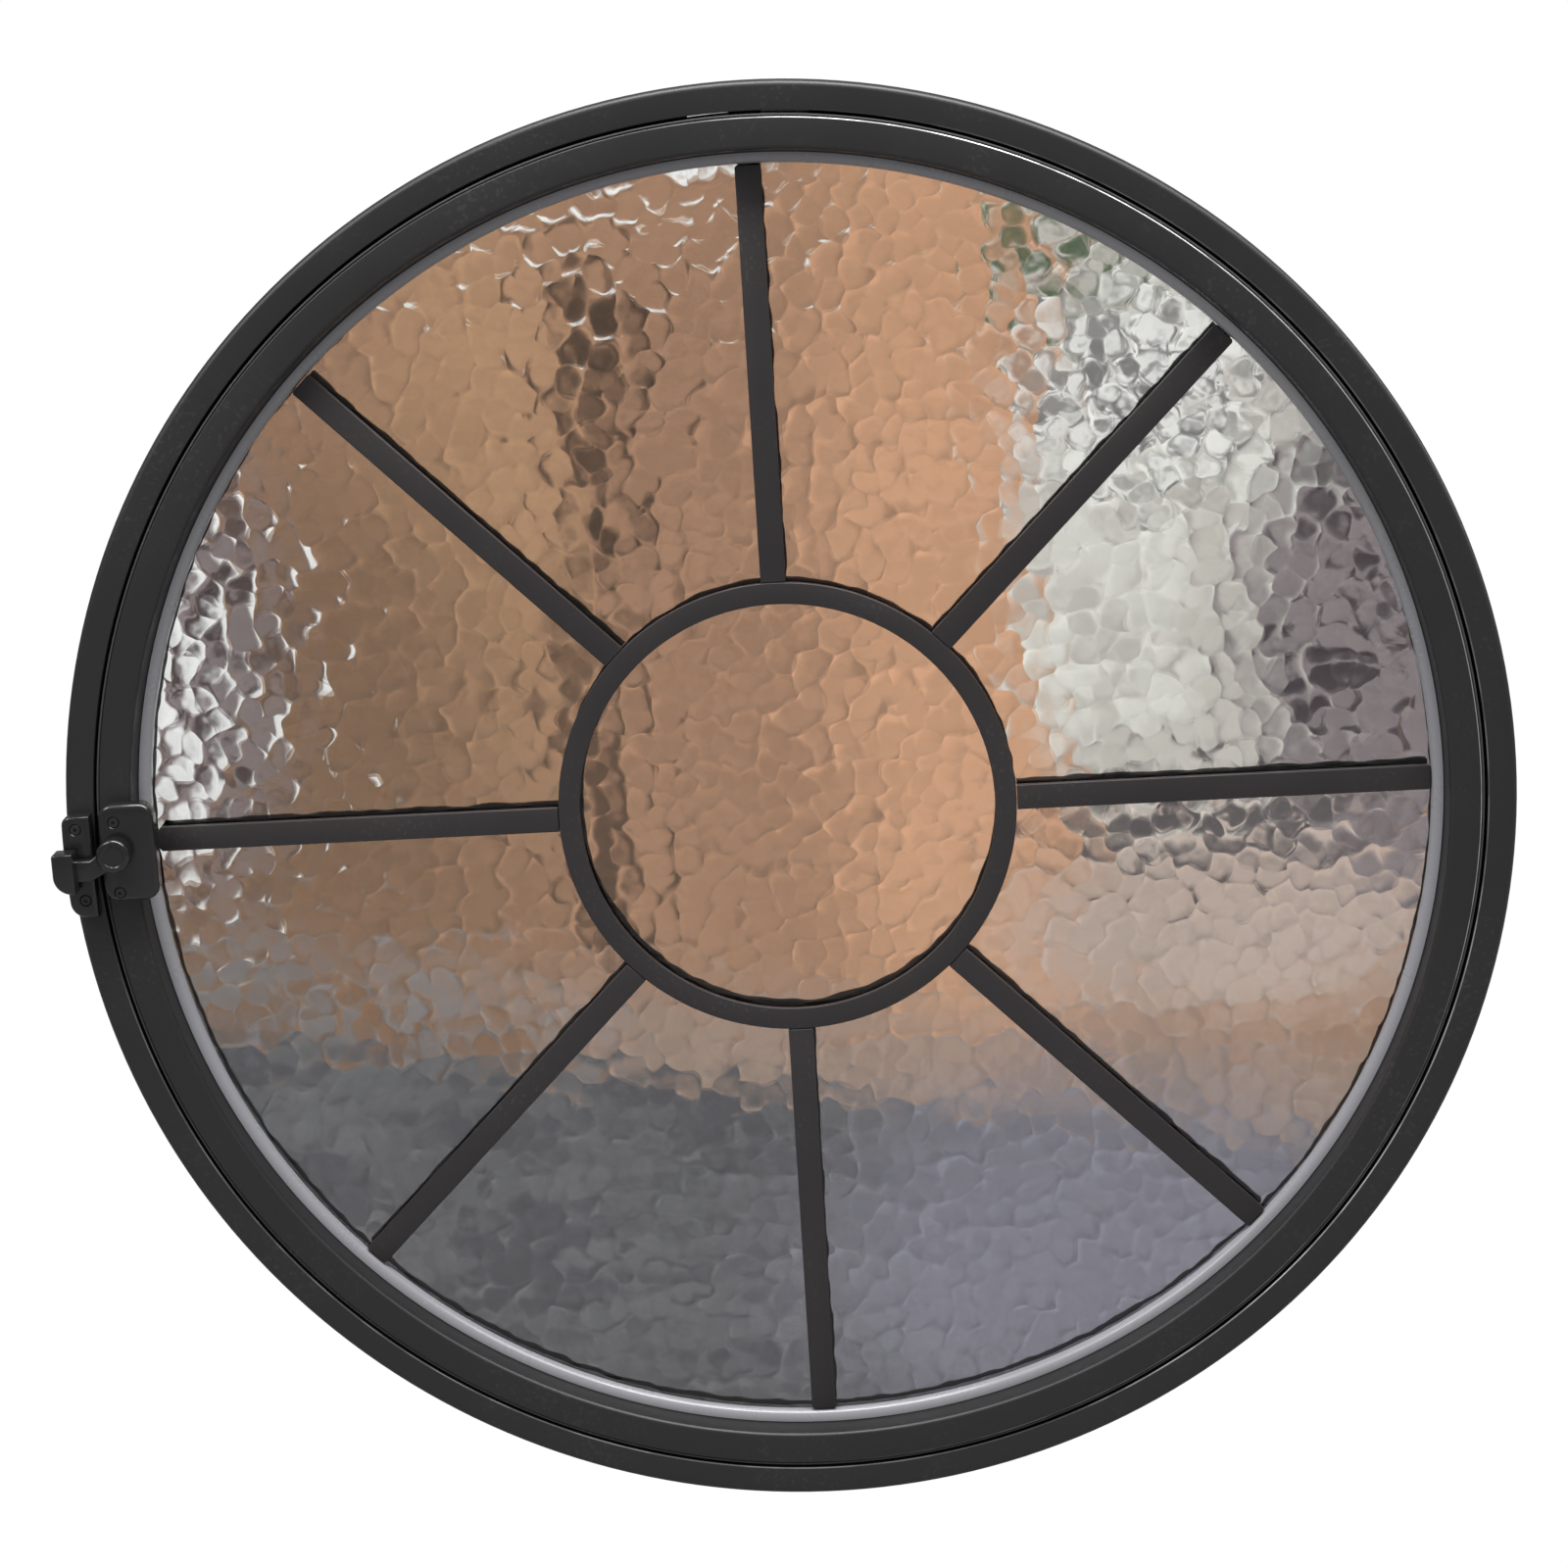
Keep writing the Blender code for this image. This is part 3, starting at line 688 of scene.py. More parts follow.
@dataclass(frozen=True)
class ClearGlassFinish:
    """Plain float glass, the least bit cloudy."""

    name: str = "float_glass"
    clear: Colour = (0.95, 0.96, 0.955)
    cloudy: Colour = (0.90, 0.915, 0.905)
    smear_scale: float = 9.0

    def build(self) -> bpy.types.Material:
        """Make the material.

        Returns:
            The glass, with faint smears.
        """
        material, board, shader = start_material(self.name)
        place = board.add("TexCoord").outputs["Object"]
        smear = board.noise(place, self.smear_scale, 1.0).outputs["Fac"]
        colour = board.mix(board.ease(smear, 0.4, 0.7), self.clear, self.cloudy)
        board.feed(shader.inputs["Base Color"], colour)
        turn_to_glass(shader)
        return material


def seen_straight(board: NodeBoard) -> Socket:
    """1 where the camera sees a thing directly or through glass, 0 for bounced light."""
    path = board.add("LightPath").outputs
    return board.math("MAXIMUM", path["Is Camera Ray"], path["Is Transmission Ray"])


def turn_to_glass(shader: Node) -> None:
    """Make a Principled shader smooth, clear glass.

    Args:
        shader: the shader.
    """
    shader.inputs["Roughness"].default_value = 0.0
    shader.inputs["Transmission Weight"].default_value = 1.0
    shader.inputs["IOR"].default_value = GLASS_IOR


def start_material(name: str) -> tuple[bpy.types.Material, NodeBoard, Node]:
    """A new node material.

    Args:
        name: its name.

    Returns:
        The material, a board for its nodes and its Principled shader.
    """
    material = bpy.data.materials.new(name)
    material.use_nodes = True
    board = NodeBoard(material.node_tree)
    return material, board, material.node_tree.nodes["Principled BSDF"]


SASH_CORNER = 380.4 * MM
BORE_CORNER = 384.4 * MM
# Painted highlights on the sash's and the frame's front corners, as bright metal along the arcs where light
# glints.
PAINTED_EDGE_GLINTS = (
    PaintedEdgeGlint(SASH_CORNER, towards=34, reach=52, strength=1.0),
    PaintedEdgeGlint(SASH_CORNER, towards=307, reach=26, strength=0.35),
    PaintedEdgeGlint(BORE_CORNER, towards=324, reach=22, strength=0.7),
    PaintedEdgeGlint(BORE_CORNER, towards=30, reach=45, strength=0.2),
    PaintedEdgeGlint(BORE_CORNER, towards=235, reach=42, strength=0.2),
)

FINISHES = {
    Slot.FRAME_PAINT: FilmFinish(
        "satin_black_paint", (0.016, 0.0153, 0.0162), roughness=0.42, spread=0.12, dust=0.04,
        painted_glints=PAINTED_EDGE_GLINTS,
    ),
    Slot.BAR_PAINT: FilmFinish(
        "bar_black_paint", (0.024, 0.020, 0.021), roughness=0.48, spread=0.2, dust=0.05,
    ),
    Slot.FITTING_PAINT: FilmFinish(
        "fitting_black_coat", (0.010, 0.0098, 0.010), roughness=0.22, spread=0.08, dust=0.03,
        grain_scale=500.0, coat=0.3,
    ),
    Slot.TEXTURED_GLASS: TexturedGlassFinish(),
    Slot.CLEAR_GLASS: ClearGlassFinish(),
    Slot.GREY_RUBBER: FilmFinish(
        "grey_gasket", (0.27, 0.27, 0.29), roughness=0.26, spread=0.2, dust=0.25,
        dust_colour=(0.2, 0.19, 0.18), grain_scale=300.0, grain_height=0.06 * MM, coat=0.2,
    ),
    Slot.BLACK_RUBBER: FilmFinish(
        "black_seal", (0.045, 0.044, 0.044), roughness=0.7, spread=0.15, dust=0.12, grain_scale=600.0,
    ),
    Slot.ALUMINIUM: FilmFinish(
        "mill_aluminium", (0.6, 0.6, 0.61), roughness=0.35, spread=0.1, dust=0.05, metallic=1.0,
    ),
    Slot.STEEL: FilmFinish(
        "blackened_steel_coat", (0.05, 0.05, 0.052), roughness=0.36, spread=0.15, dust=0.08, metallic=0.7,
    ),
    Slot.NYLON: FilmFinish(
        "black_nylon_coat", (0.022, 0.022, 0.023), roughness=0.5, spread=0.1, dust=0.05,
    ),
}


class Wardrobe:
    """Builds each finish once and dresses pieces with it."""

    def __init__(self) -> None:
        """Start with no materials made."""
        self.made: dict[Slot, bpy.types.Material] = {}

    def dress(self, obj: bpy.types.Object, slot: Slot) -> None:
        """Put a slot's finish on a piece, in place of whatever it had.

        Args:
            obj: the piece.
            slot: the material slot.
        """
        if slot not in self.made:
            self.made[slot] = FINISHES[slot].build()
        obj.data.materials.clear()
        obj.data.materials.append(self.made[slot])

    def finish_piece(self, obj: bpy.types.Object, slot: Slot, body: Body, node: str) -> None:
        """Dress a new piece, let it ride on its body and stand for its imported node.

        Args:
            obj: the piece.
            slot: its material slot.
            body: the body that it moves with.
            node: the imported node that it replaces.
        """
        self.dress(obj, slot)
        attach(obj, body.value)
        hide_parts(node)
        LOG.info("%s: %d faces, %s on %s", obj.name, len(obj.data.polygons), slot.value, body.value)

    def keep_nodes(self, frame: dict, slot: Slot, names: Iterable[str]) -> None:
        """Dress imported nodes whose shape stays.

        Args:
            frame: the loaded model.
            slot: their material slot.
            names: the nodes.
        """
        for name in names:
            self.dress(frame["nodes"][name], slot)
            LOG.info("%s: packed shape, %s", name, slot.value)


# --------------------------------------------------------------------------------------
# Mesh making
# --------------------------------------------------------------------------------------


def bake_mesh(name: str, bm: bmesh.types.BMesh, angle: float = SMOOTH_ANGLE) -> bpy.types.Object:
    """Turn a bmesh into an object at the origin, with its faces pointing out.

    Args:
        name: the object's name.
        bm: the shape, which is freed.
        angle: how far an edge may bend, in radians, and still be shaded smooth.

    Returns:
        The object.
    """
    bmesh.ops.remove_doubles(bm, verts=bm.verts, dist=MERGE_REACH)
    bmesh.ops.recalc_face_normals(bm, faces=bm.faces)
    mesh = bpy.data.meshes.new(name)
    bm.to_mesh(mesh)
    bm.free()
    mesh.shade_smooth()
    mesh.set_sharp_from_angle(angle=angle)
    obj = bpy.data.objects.new(name, mesh)
    bpy.context.scene.collection.objects.link(obj)
    return obj


def arc(centre: Point, radius: float, start: float, end: float, steps: int = 6) -> list[Point]:
    """Points on an arc, from one angle to another in degrees."""
    angles = [math.radians(start + (end - start) * i / steps) for i in range(steps + 1)]
    return [(centre[0] + radius * math.cos(a), centre[1] + radius * math.sin(a)) for a in angles]


def spin_ring(profile: Sequence[Point], span: Optional[Point] = None) -> bmesh.types.BMesh:
    """Turn a closed (radius, y) profile about the Y axis.

    Args:
        profile: the section's corners in order.
        span: start and end in degrees, anticlockwise seen from the front; None for a full turn.

    Returns:
        The closed ring, or the arc with both ends capped.
    """
    start, end = span or (0, 360)
    bm = bmesh.new()
    begin = Matrix.Rotation(-math.radians(start), 3, "Y")
    corners = [bm.verts.new(begin @ Vector((radius, y, 0))) for radius, y in profile]
    edges = [bm.edges.new((corners[i - 1], corners[i])) for i in range(len(corners))]
    bmesh.ops.spin(
        bm,
        geom=corners + edges,
        cent=(0, 0, 0),
        axis=(0, -1, 0),
        angle=math.radians(end - start),
        steps=round(RING_STEPS * (end - start) / 360),
        use_merge=span is None,
    )
    if span:
        bmesh.ops.holes_fill(bm, edges=[edge for edge in bm.edges if edge.is_boundary])
    return bm


def soft_band(inner: float, outer: float, front: float, rear: float, edge: float) -> list[Point]:
    """A rectangular section with four round corners.

    Args:
        inner: its least radius.
        outer: its greatest radius.
        front: the y of its front.
        rear: the y of its back.
        edge: the corners' radius.

    Returns:
        A closed (radius, y) profile.
    """
    return [
        *arc((outer - edge, front + edge), edge, -90, 0, 3),
        *arc((outer - edge, rear - edge), edge, 0, 90, 3),
        *arc((inner + edge, rear - edge), edge, 90, 180, 3),
        *arc((inner + edge, front + edge), edge, 180, 270, 3),
    ]


def spin_solid(profile: Sequence[Point], steps: int = 40) -> bmesh.types.BMesh:
    """Turn an open (radius, height) profile about Z.

    Args:
        profile: the section's corners, the first and last on the axis.
        steps: how many steps make the full turn.

    Returns:
        The closed solid.
    """
    bm = bmesh.new()
    points = [bm.verts.new((radius, 0, height)) for radius, height in profile]
    edges = [bm.edges.new(pair) for pair in zip(points, points[1:])]
    bmesh.ops.spin(
        bm, geom=points + edges, cent=(0, 0, 0), axis=(0, 0, 1), angle=math.tau, steps=steps, use_merge=True
    )
    bmesh.ops.remove_doubles(bm, verts=bm.verts, dist=MERGE_REACH)
    return bm


def face_front(x: float, y: float, z: float) -> Matrix:
    """Turn a piece made about Z so that its +Z points to the front, and move it to a point."""
    return Matrix.Translation((x, y, z)) @ Matrix.Rotation(math.pi / 2, 4, "X")


def extrude_outline(
    outline: Sequence[Point], front: float, back: float, edge: float = 0.0, steps: int = 4
) -> bmesh.types.BMesh:
    """Extrude an XZ outline along Y, and round its front rim.

    Args:
        outline: the corners in order, in the XZ plane.
        front: the y of the face that is rounded.
        back: the y of the other face.
        edge: the radius of the rounding.
        steps: its segments.

    Returns:
        The closed solid.
    """
    bm = bmesh.new()
    face = bm.faces.new([bm.verts.new((x, front, z)) for x, z in outline])
    rim = list(face.edges)
    grown = bmesh.ops.extrude_face_region(bm, geom=[face], use_keep_orig=True)
    moved = [item for item in grown["geom"] if isinstance(item, bmesh.types.BMVert)]
    bmesh.ops.translate(bm, verts=moved, vec=(0, back - front, 0))
    bmesh.ops.recalc_face_normals(bm, faces=bm.faces)
    if edge:
        bmesh.ops.bevel(
            bm, geom=rim, offset=edge, segments=steps, profile=0.5, affect="EDGES", material=-1,
            clamp_overlap=True,
        )
    return bm


def combine(obj: bpy.types.Object, operation: str, tools: Iterable[bmesh.types.BMesh]) -> None:
    """Cut each tool from a piece, or join it on, and keep the result as the piece's own mesh.

    Args:
        obj: the piece.
        operation: DIFFERENCE to cut or UNION to join.
        tools: the shapes, which are freed.
    """
    for tool in tools:
        helper = bake_mesh("tool", tool)
        modifier = obj.modifiers.new("tool", "BOOLEAN")
        modifier.operation = operation
        modifier.object = helper
        evaluated = obj.evaluated_get(bpy.context.evaluated_depsgraph_get())
        mesh = bpy.data.meshes.new_from_object(evaluated)
        obj.modifiers.clear()
        bpy.data.objects.remove(helper)
        obj.data = mesh
        mesh.shade_smooth()
        mesh.set_sharp_from_angle(angle=SMOOTH_ANGLE)


def rod(radius: float, low: float, high: float) -> bmesh.types.BMesh:
    """A plain cylinder about Z."""
    return spin_solid([(0, low), (radius, low), (radius, high), (0, high)])


def placed(bm: bmesh.types.BMesh, matrix: Matrix) -> bmesh.types.BMesh:
    """Move a bmesh by a matrix, and give it back."""
    bmesh.ops.transform(bm, matrix=matrix, verts=bm.verts)
    return bm


@dataclass(frozen=True)
class Extent:
    """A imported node's box, read as plain sides or as a ring's outer radius and depth."""

    low: Vector
    high: Vector

    @classmethod
    def of(cls, node: str) -> "Extent":
        """Read one node's box."""
        return cls(*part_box(node))

    @property
    def radius(self) -> float:
        """The outer radius of a full ring."""
        return self.high.z

    @property
    def front(self) -> float:
        """The y of the front face."""
        return self.low.y

    @property
    def rear(self) -> float:
        """The y of the rear face."""
        return self.high.y


def pivot_holes(radius: float, inner: float, outer: float) -> list[bmesh.types.BMesh]:
    """Cutters for the pivots' holes at the top and bottom.

    Args:
        radius: the holes' radius.
        inner: how far from the window's centre they start.
        outer: how far from it they end.

    Returns:
        One cutter for each end.
    """
    pin = Extent.of("pivot_pin_top")
    shift = Matrix.Translation((0, (pin.front + pin.rear) / 2, 0))
    return [placed(rod(radius, sign * inner, sign * outer), shift) for sign in (1, -1)]


# --------------------------------------------------------------------------------------
# Sub-assemblies
# --------------------------------------------------------------------------------------


@dataclass
class FixedFrame:
    """The ring frame: a flange with a rounded outer edge, and the web that lines the wall."""

    wardrobe: Wardrobe
    bore: float = 384 * MM
    web: float = 5 * MM
    flange_round: float = 3.5 * MM
    flange_edge: float = 0.6 * MM
    web_edge: float = 0.5 * MM
    corner: float = 0.8 * MM
    pin_radius: float = 4.3 * MM
    pin_overrun: float = 5 * MM
    pin_cover: float = 1 * MM
    stop_inner: float = 374 * MM
    stop_edge: float = 0.6 * MM
    stop_span: Point = (95, 265)

    def build(self) -> bpy.types.Object:
        """Make the frame and its stop.

        Returns:
            The frame ring.
        """
        box = Extent.of("outer_frame")
        front, rear, outer = box.front, box.rear, box.radius
        lip, web = outer - self.flange_round, self.bore + self.web
        profile = [
            *arc((self.bore + self.corner, front + self.corner), self.corner, 180, 270, 4),
            *arc((lip, front + self.flange_round), self.flange_round, -90, 0, 12),
            (outer, -self.flange_edge),
            (outer - self.flange_edge, 0.0),
            (web, 0.0),
            (web, rear - self.web_edge),
            (web - self.web_edge, rear),
            (self.bore + self.web_edge, rear),
            (self.bore, rear - self.web_edge),
        ]
        frame = bake_mesh("frame_ring", spin_ring(profile))
        holes = pivot_holes(self.pin_radius, self.bore - self.pin_overrun, outer - self.pin_cover)
        combine(frame, "DIFFERENCE", holes)
        self.wardrobe.finish_piece(frame, Slot.FRAME_PAINT, Body.FRAME, "outer_frame")
        stop_box = Extent.of("frame_stop_left")
        stop_outer = -stop_box.low.x
        section = soft_band(self.stop_inner, stop_outer, stop_box.front, stop_box.rear, self.stop_edge)
        stop = bake_mesh("stop_strip_left", spin_ring(section, self.stop_span))
        self.wardrobe.finish_piece(stop, Slot.FRAME_PAINT, Body.FRAME, "frame_stop_left")
        return frame


@dataclass
class SashRing:
    """The turning ring: a front leg that slopes in to the glass, a rebate and a groove outside."""

    wardrobe: Wardrobe
    corner: float = 0.8 * MM
    leg_front: float = 363.3 * MM
    leg_inner: float = 361.5 * MM
    leg_round: float = 2.5 * MM
    leg_rear: float = 7 * MM
    leg_lip: float = 1.5 * MM
    back_edge: float = 0.5 * MM
    rebate: float = 366.5 * MM
    groove_floor: float = 373 * MM
    groove: Point = (27 * MM, 38 * MM)
    bush_radius: float = 6.3 * MM
    bush_foot: float = 369 * MM
    bush_overrun: float = 2 * MM
    stop_inner: float = 370 * MM
    stop_edge: float = 0.6 * MM
    stop_span: Point = (-85, 85)
    seal_gap: float = 0.3 * MM
    seal_edge: float = 0.45 * MM
    rear_seal_span: Point = (-85, 85)

    def profile(self, box: Extent) -> list[Point]:
        """The ring's section.

        Args:
            box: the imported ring's size.

        Returns:
            A closed (radius, y) profile.
        """
        outer, front, rear = box.radius, box.front, box.rear
        return [
            *arc((outer - self.corner, front + self.corner), self.corner, 0, -90, 4),
            *arc((self.leg_front + self.leg_round, front + self.leg_round), self.leg_round, 270, 180, 8),
            (self.leg_inner, self.leg_rear - self.leg_lip),
            (self.leg_inner, self.leg_rear),
            (self.rebate, self.leg_rear),
            (self.rebate, rear - self.back_edge),
            (self.rebate + self.back_edge, rear),
            (outer - self.back_edge, rear),
            (outer, rear - self.back_edge),
            (outer, self.groove[1]),
            (self.groove_floor, self.groove[1]),
            (self.groove_floor, self.groove[0]),
            (outer, self.groove[0]),
        ]

    def build(self) -> bpy.types.Object:
        """Make the ring, its stop and both seals.

        Returns:
            The sash ring.
        """
        box = Extent.of("sash_ring")
        ring = bake_mesh("sash_turning_ring", spin_ring(self.profile(box)))
        holes = pivot_holes(self.bush_radius, self.bush_foot, box.radius + self.bush_overrun)
        combine(ring, "DIFFERENCE", holes)
        self.wardrobe.finish_piece(ring, Slot.FRAME_PAINT, Body.SASH, "sash_ring")

        stop_box = Extent.of("sash_stop_right")
        section = soft_band(
            self.stop_inner, stop_box.high.x, stop_box.front, stop_box.rear, self.stop_edge
        )
        stop = bake_mesh("stop_strip_right", spin_ring(section, self.stop_span))
        self.wardrobe.finish_piece(stop, Slot.FRAME_PAINT, Body.SASH, "sash_stop_right")

        inner = box.radius + self.seal_gap
        for node, name, span in (
            ("weather_seal_front", "seal_strip_front", None),
            ("weather_seal_rear", "seal_strip_rear", self.rear_seal_span),
        ):
            seal_box = Extent.of(node)
            reach = max(-seal_box.low.x, seal_box.high.x)
            section = soft_band(inner, reach, seal_box.front, seal_box.rear, self.seal_edge)
            seal = bake_mesh(name, spin_ring(section, span))
            self.wardrobe.finish_piece(seal, Slot.BLACK_RUBBER, Body.SASH, node)
        return ring


@dataclass
class SealedUnit:
    """The double-glazed unit and what holds it in the sash."""

    wardrobe: Wardrobe
    gasket_inner: float = 355 * MM
    gasket_outer: float = 361.2 * MM
    gasket_shelf: float = 3.7 * MM
    gasket_fullness: float = 0.8
    tape_inner: float = 356 * MM
    spacer_inner: float = 356.5 * MM
    seal_inner: float = 362.3 * MM
    strip_edge: float = 0.4 * MM
    bead_foot: float = 357 * MM
    bead_tip: float = 364 * MM
    bead_face: float = 2.3 * MM
    grid: int = 290
    relief: float = 0.7 * MM
    flat_rim: float = 5 * MM
    relief_angle: float = math.radians(60)

    def relief_tree(self, rim: float) -> bpy.types.NodeTree:
        """The modifier that presses the hammered pattern into the pane's front.

        Args:
            rim: the pane's radius.

        Returns:
            The geometry nodes.
        """
        tree = bpy.data.node_groups.new("PressedRelief", "GeometryNodeTree")
        tree.interface.new_socket("Geometry", in_out="INPUT", socket_type="NodeSocketGeometry")
        tree.interface.new_socket("Geometry", in_out="OUTPUT", socket_type="NodeSocketGeometry")
        board = NodeBoard(tree)
        place = tree.nodes.new("GeometryNodeInputPosition").outputs[0]
        _, depth = HAMMERED.lay(board, place)
        radius = board.length(board.vector("MULTIPLY", place, (1.0, 0.0, 1.0)))
        fade = board.ease(radius, rim - 2 * self.flat_rim, rim - self.flat_rim, self.relief, 0.0)
        push = board.add("CombineXYZ", {1: board.math("MULTIPLY", depth, fade)}).outputs[0]
        mover = tree.nodes.new("GeometryNodeSetPosition")
        board.feed(mover.inputs["Geometry"], tree.nodes.new("NodeGroupInput").outputs[0])
        board.feed(mover.inputs["Offset"], push)
        board.feed(tree.nodes.new("NodeGroupOutput").inputs[0], mover.outputs[0])
        return tree

    def front_pane(self) -> bpy.types.Object:
        """The textured pane: a square grid eased into a disc, hammered in front and closed behind.

        Returns:
            The pane.
        """
        box = Extent.of("front_pane")
        bm = bmesh.new()
        bmesh.ops.create_grid(bm, x_segments=self.grid, y_segments=self.grid, size=1.0)
        for vert in bm.verts:
            u, v = vert.co.x, vert.co.y
            across, up = u * math.sqrt(1 - v * v / 2), v * math.sqrt(1 - u * u / 2)
            vert.co = (box.radius * across, box.front, box.radius * up)
        sheet = bake_mesh("hammered_pane", bm)
        modifier = sheet.modifiers.new("relief", "NODES")
        modifier.node_group = self.relief_tree(box.radius)
        evaluated = sheet.evaluated_get(bpy.context.evaluated_depsgraph_get())
        bm = bmesh.new()
        bm.from_mesh(evaluated.to_mesh())
        bpy.data.objects.remove(sheet)
        rim = [edge for edge in bm.edges if edge.is_boundary]
        grown = bmesh.ops.extrude_edge_only(bm, edges=rim)["geom"]
        for vert in (item for item in grown if isinstance(item, bmesh.types.BMVert)):
            vert.co.y = box.rear
        back = [item for item in grown if isinstance(item, bmesh.types.BMEdge)]
        bmesh.ops.contextual_create(bm, geom=back)
        return bake_mesh("hammered_pane", bm, self.relief_angle)

    def build(self) -> None:
        """Make both panes, the gaskets, the spacer and the rear bead."""
        dress = self.wardrobe.finish_piece
        dress(self.front_pane(), Slot.TEXTURED_GLASS, Body.SASH, "front_pane")
        rear_box = Extent.of("rear_pane")
        outline = arc((0, 0), rear_box.radius, 0, 360, RING_STEPS)[:-1]
        rear = bake_mesh("float_pane", extrude_outline(outline, rear_box.front, rear_box.rear))
        dress(rear, Slot.CLEAR_GLASS, Body.SASH, "rear_pane")

        gasket = bake_mesh("glazing_gasket", spin_ring(self.gasket_profile()))
        dress(gasket, Slot.GREY_RUBBER, Body.SASH, "front_gasket")
        for node, name, inner, slot in (
            ("rear_gasket", "glazing_tape_rear", self.tape_inner, Slot.BLACK_RUBBER),
            ("spacer_bar", "cavity_spacer", self.spacer_inner, Slot.ALUMINIUM),
            ("edge_seal", "unit_edge_seal", self.seal_inner, Slot.BLACK_RUBBER),
        ):
            box = Extent.of(node)
            section = soft_band(inner, box.radius, box.front, box.rear, self.strip_edge)
            dress(bake_mesh(name, spin_ring(section)), slot, Body.SASH, node)
        bead = bake_mesh("rear_bead_ring", spin_ring(self.bead_profile()))
        dress(bead, Slot.FRAME_PAINT, Body.SASH, "rear_glazing_bead")

    def gasket_profile(self) -> list[Point]:
        """The grey gasket: a smooth crown that falls from the leg to the glass.

        Returns:
            A closed (radius, y) profile.
        """
        box = Extent.of("front_gasket")
        crown, foot = box.front, box.rear
        shelf = foot - self.gasket_shelf
        steps = 12
        wide = self.gasket_outer - self.gasket_inner
        curve = []
        for index in range(steps + 1):
            angle = math.radians(90 * index / steps)
            radius = self.gasket_outer - wide * math.sin(angle)
            curve.append((radius, foot - (foot - crown) * math.cos(angle) ** self.gasket_fullness))
        return [*curve, (box.radius, foot), (box.radius, shelf), (self.gasket_outer, shelf)]

    def bead_profile(self) -> list[Point]:
        """The sloping bead that holds the unit from behind.

        Returns:
            A closed (radius, y) profile.
        """
        box = Extent.of("rear_glazing_bead")
        soft = 0.6 * MM
        return [
            (box.radius, box.front),
            (self.bead_foot + soft, box.front),
            (self.bead_foot, box.front + soft),
            (self.bead_foot, box.front + self.bead_face - soft),
            (self.bead_foot + soft * 0.4, box.front + self.bead_face),
            (self.bead_tip - soft, box.rear - soft * 1.4),
            (self.bead_tip, box.rear),
            (box.radius, box.rear),
        ]


@dataclass
class Lattice:
    """Eight flat bars and a centre ring on each face of the glass."""

    wardrobe: Wardrobe
    inner: float = 115.2 * MM
    start: float = 127.5 * MM
    width: float = 13.8 * MM
    chamfer: float = 1 * MM
    left_chamfer: float = 3 * MM
    left_bar: int = 4
    corner: float = 0.5 * MM
    count: int = 8

    def bar(self, name: str, index: int, node: str, face: float, foot: float) -> None:
        """Make one bar with chamfered outer corners and a soft rim.

        Args:
            name: the piece's name.
            index: how many eighths of a turn it stands from +X, anticlockwise.
            node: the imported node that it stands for.
            face: the y of its outer face.
            foot: the y of the face against the glass.
        """
        half = self.width / 2
        if index == self.left_bar:
            end, chamfer = -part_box(node)[0].x, self.left_chamfer
        else:
            end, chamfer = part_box(node.rsplit("_", 1)[0] + "_1")[1].x, self.chamfer
        outline = [
            (self.start, -half),
            (end - chamfer, -half),
            (end, -half + chamfer),
            (end, half - chamfer),
            (end - chamfer, half),
            (self.start, half),
        ]
        turn = Matrix.Rotation(-math.tau * index / self.count, 4, "Y")
        piece = bake_mesh(name, placed(extrude_outline(outline, face, foot, self.corner, 3), turn))
        self.wardrobe.finish_piece(piece, Slot.BAR_PAINT, Body.SASH, node)

    def build(self) -> None:
        """Make both centre rings and all the bars."""
        for side in ("front", "rear"):
            node = f"{side}_centre_ring"
            box = Extent.of(node)
            face, foot = (box.front, box.rear) if side == "front" else (box.rear, box.front)
            section = soft_band(self.inner, box.radius, box.front, box.rear, self.corner)
            ring = bake_mesh(f"lattice_ring_{side}", spin_ring(section))
            self.wardrobe.finish_piece(ring, Slot.BAR_PAINT, Body.SASH, node)
            for index in range(self.count):
                self.bar(f"lattice_bar_{side}_{index + 1}", index, f"{side}_bar_{index + 1}", face, foot)


@dataclass
class Pivots:
    """The pins, bushes and washers at the top and bottom, and the blocks under the glass."""

    wardrobe: Wardrobe

    def build(self, frame: dict) -> None:
        """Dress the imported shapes.

        Args:
            frame: the loaded model.
        """
        names = frame["nodes"]
        pins = [name for name in names if name.startswith("pivot_pin")]
        nylon = [name for name in names if name.startswith(("pivot_bush", "pivot_washer", "setting_block"))]
        self.wardrobe.keep_nodes(frame, Slot.STEEL, pins)
        self.wardrobe.keep_nodes(frame, Slot.NYLON, nylon)


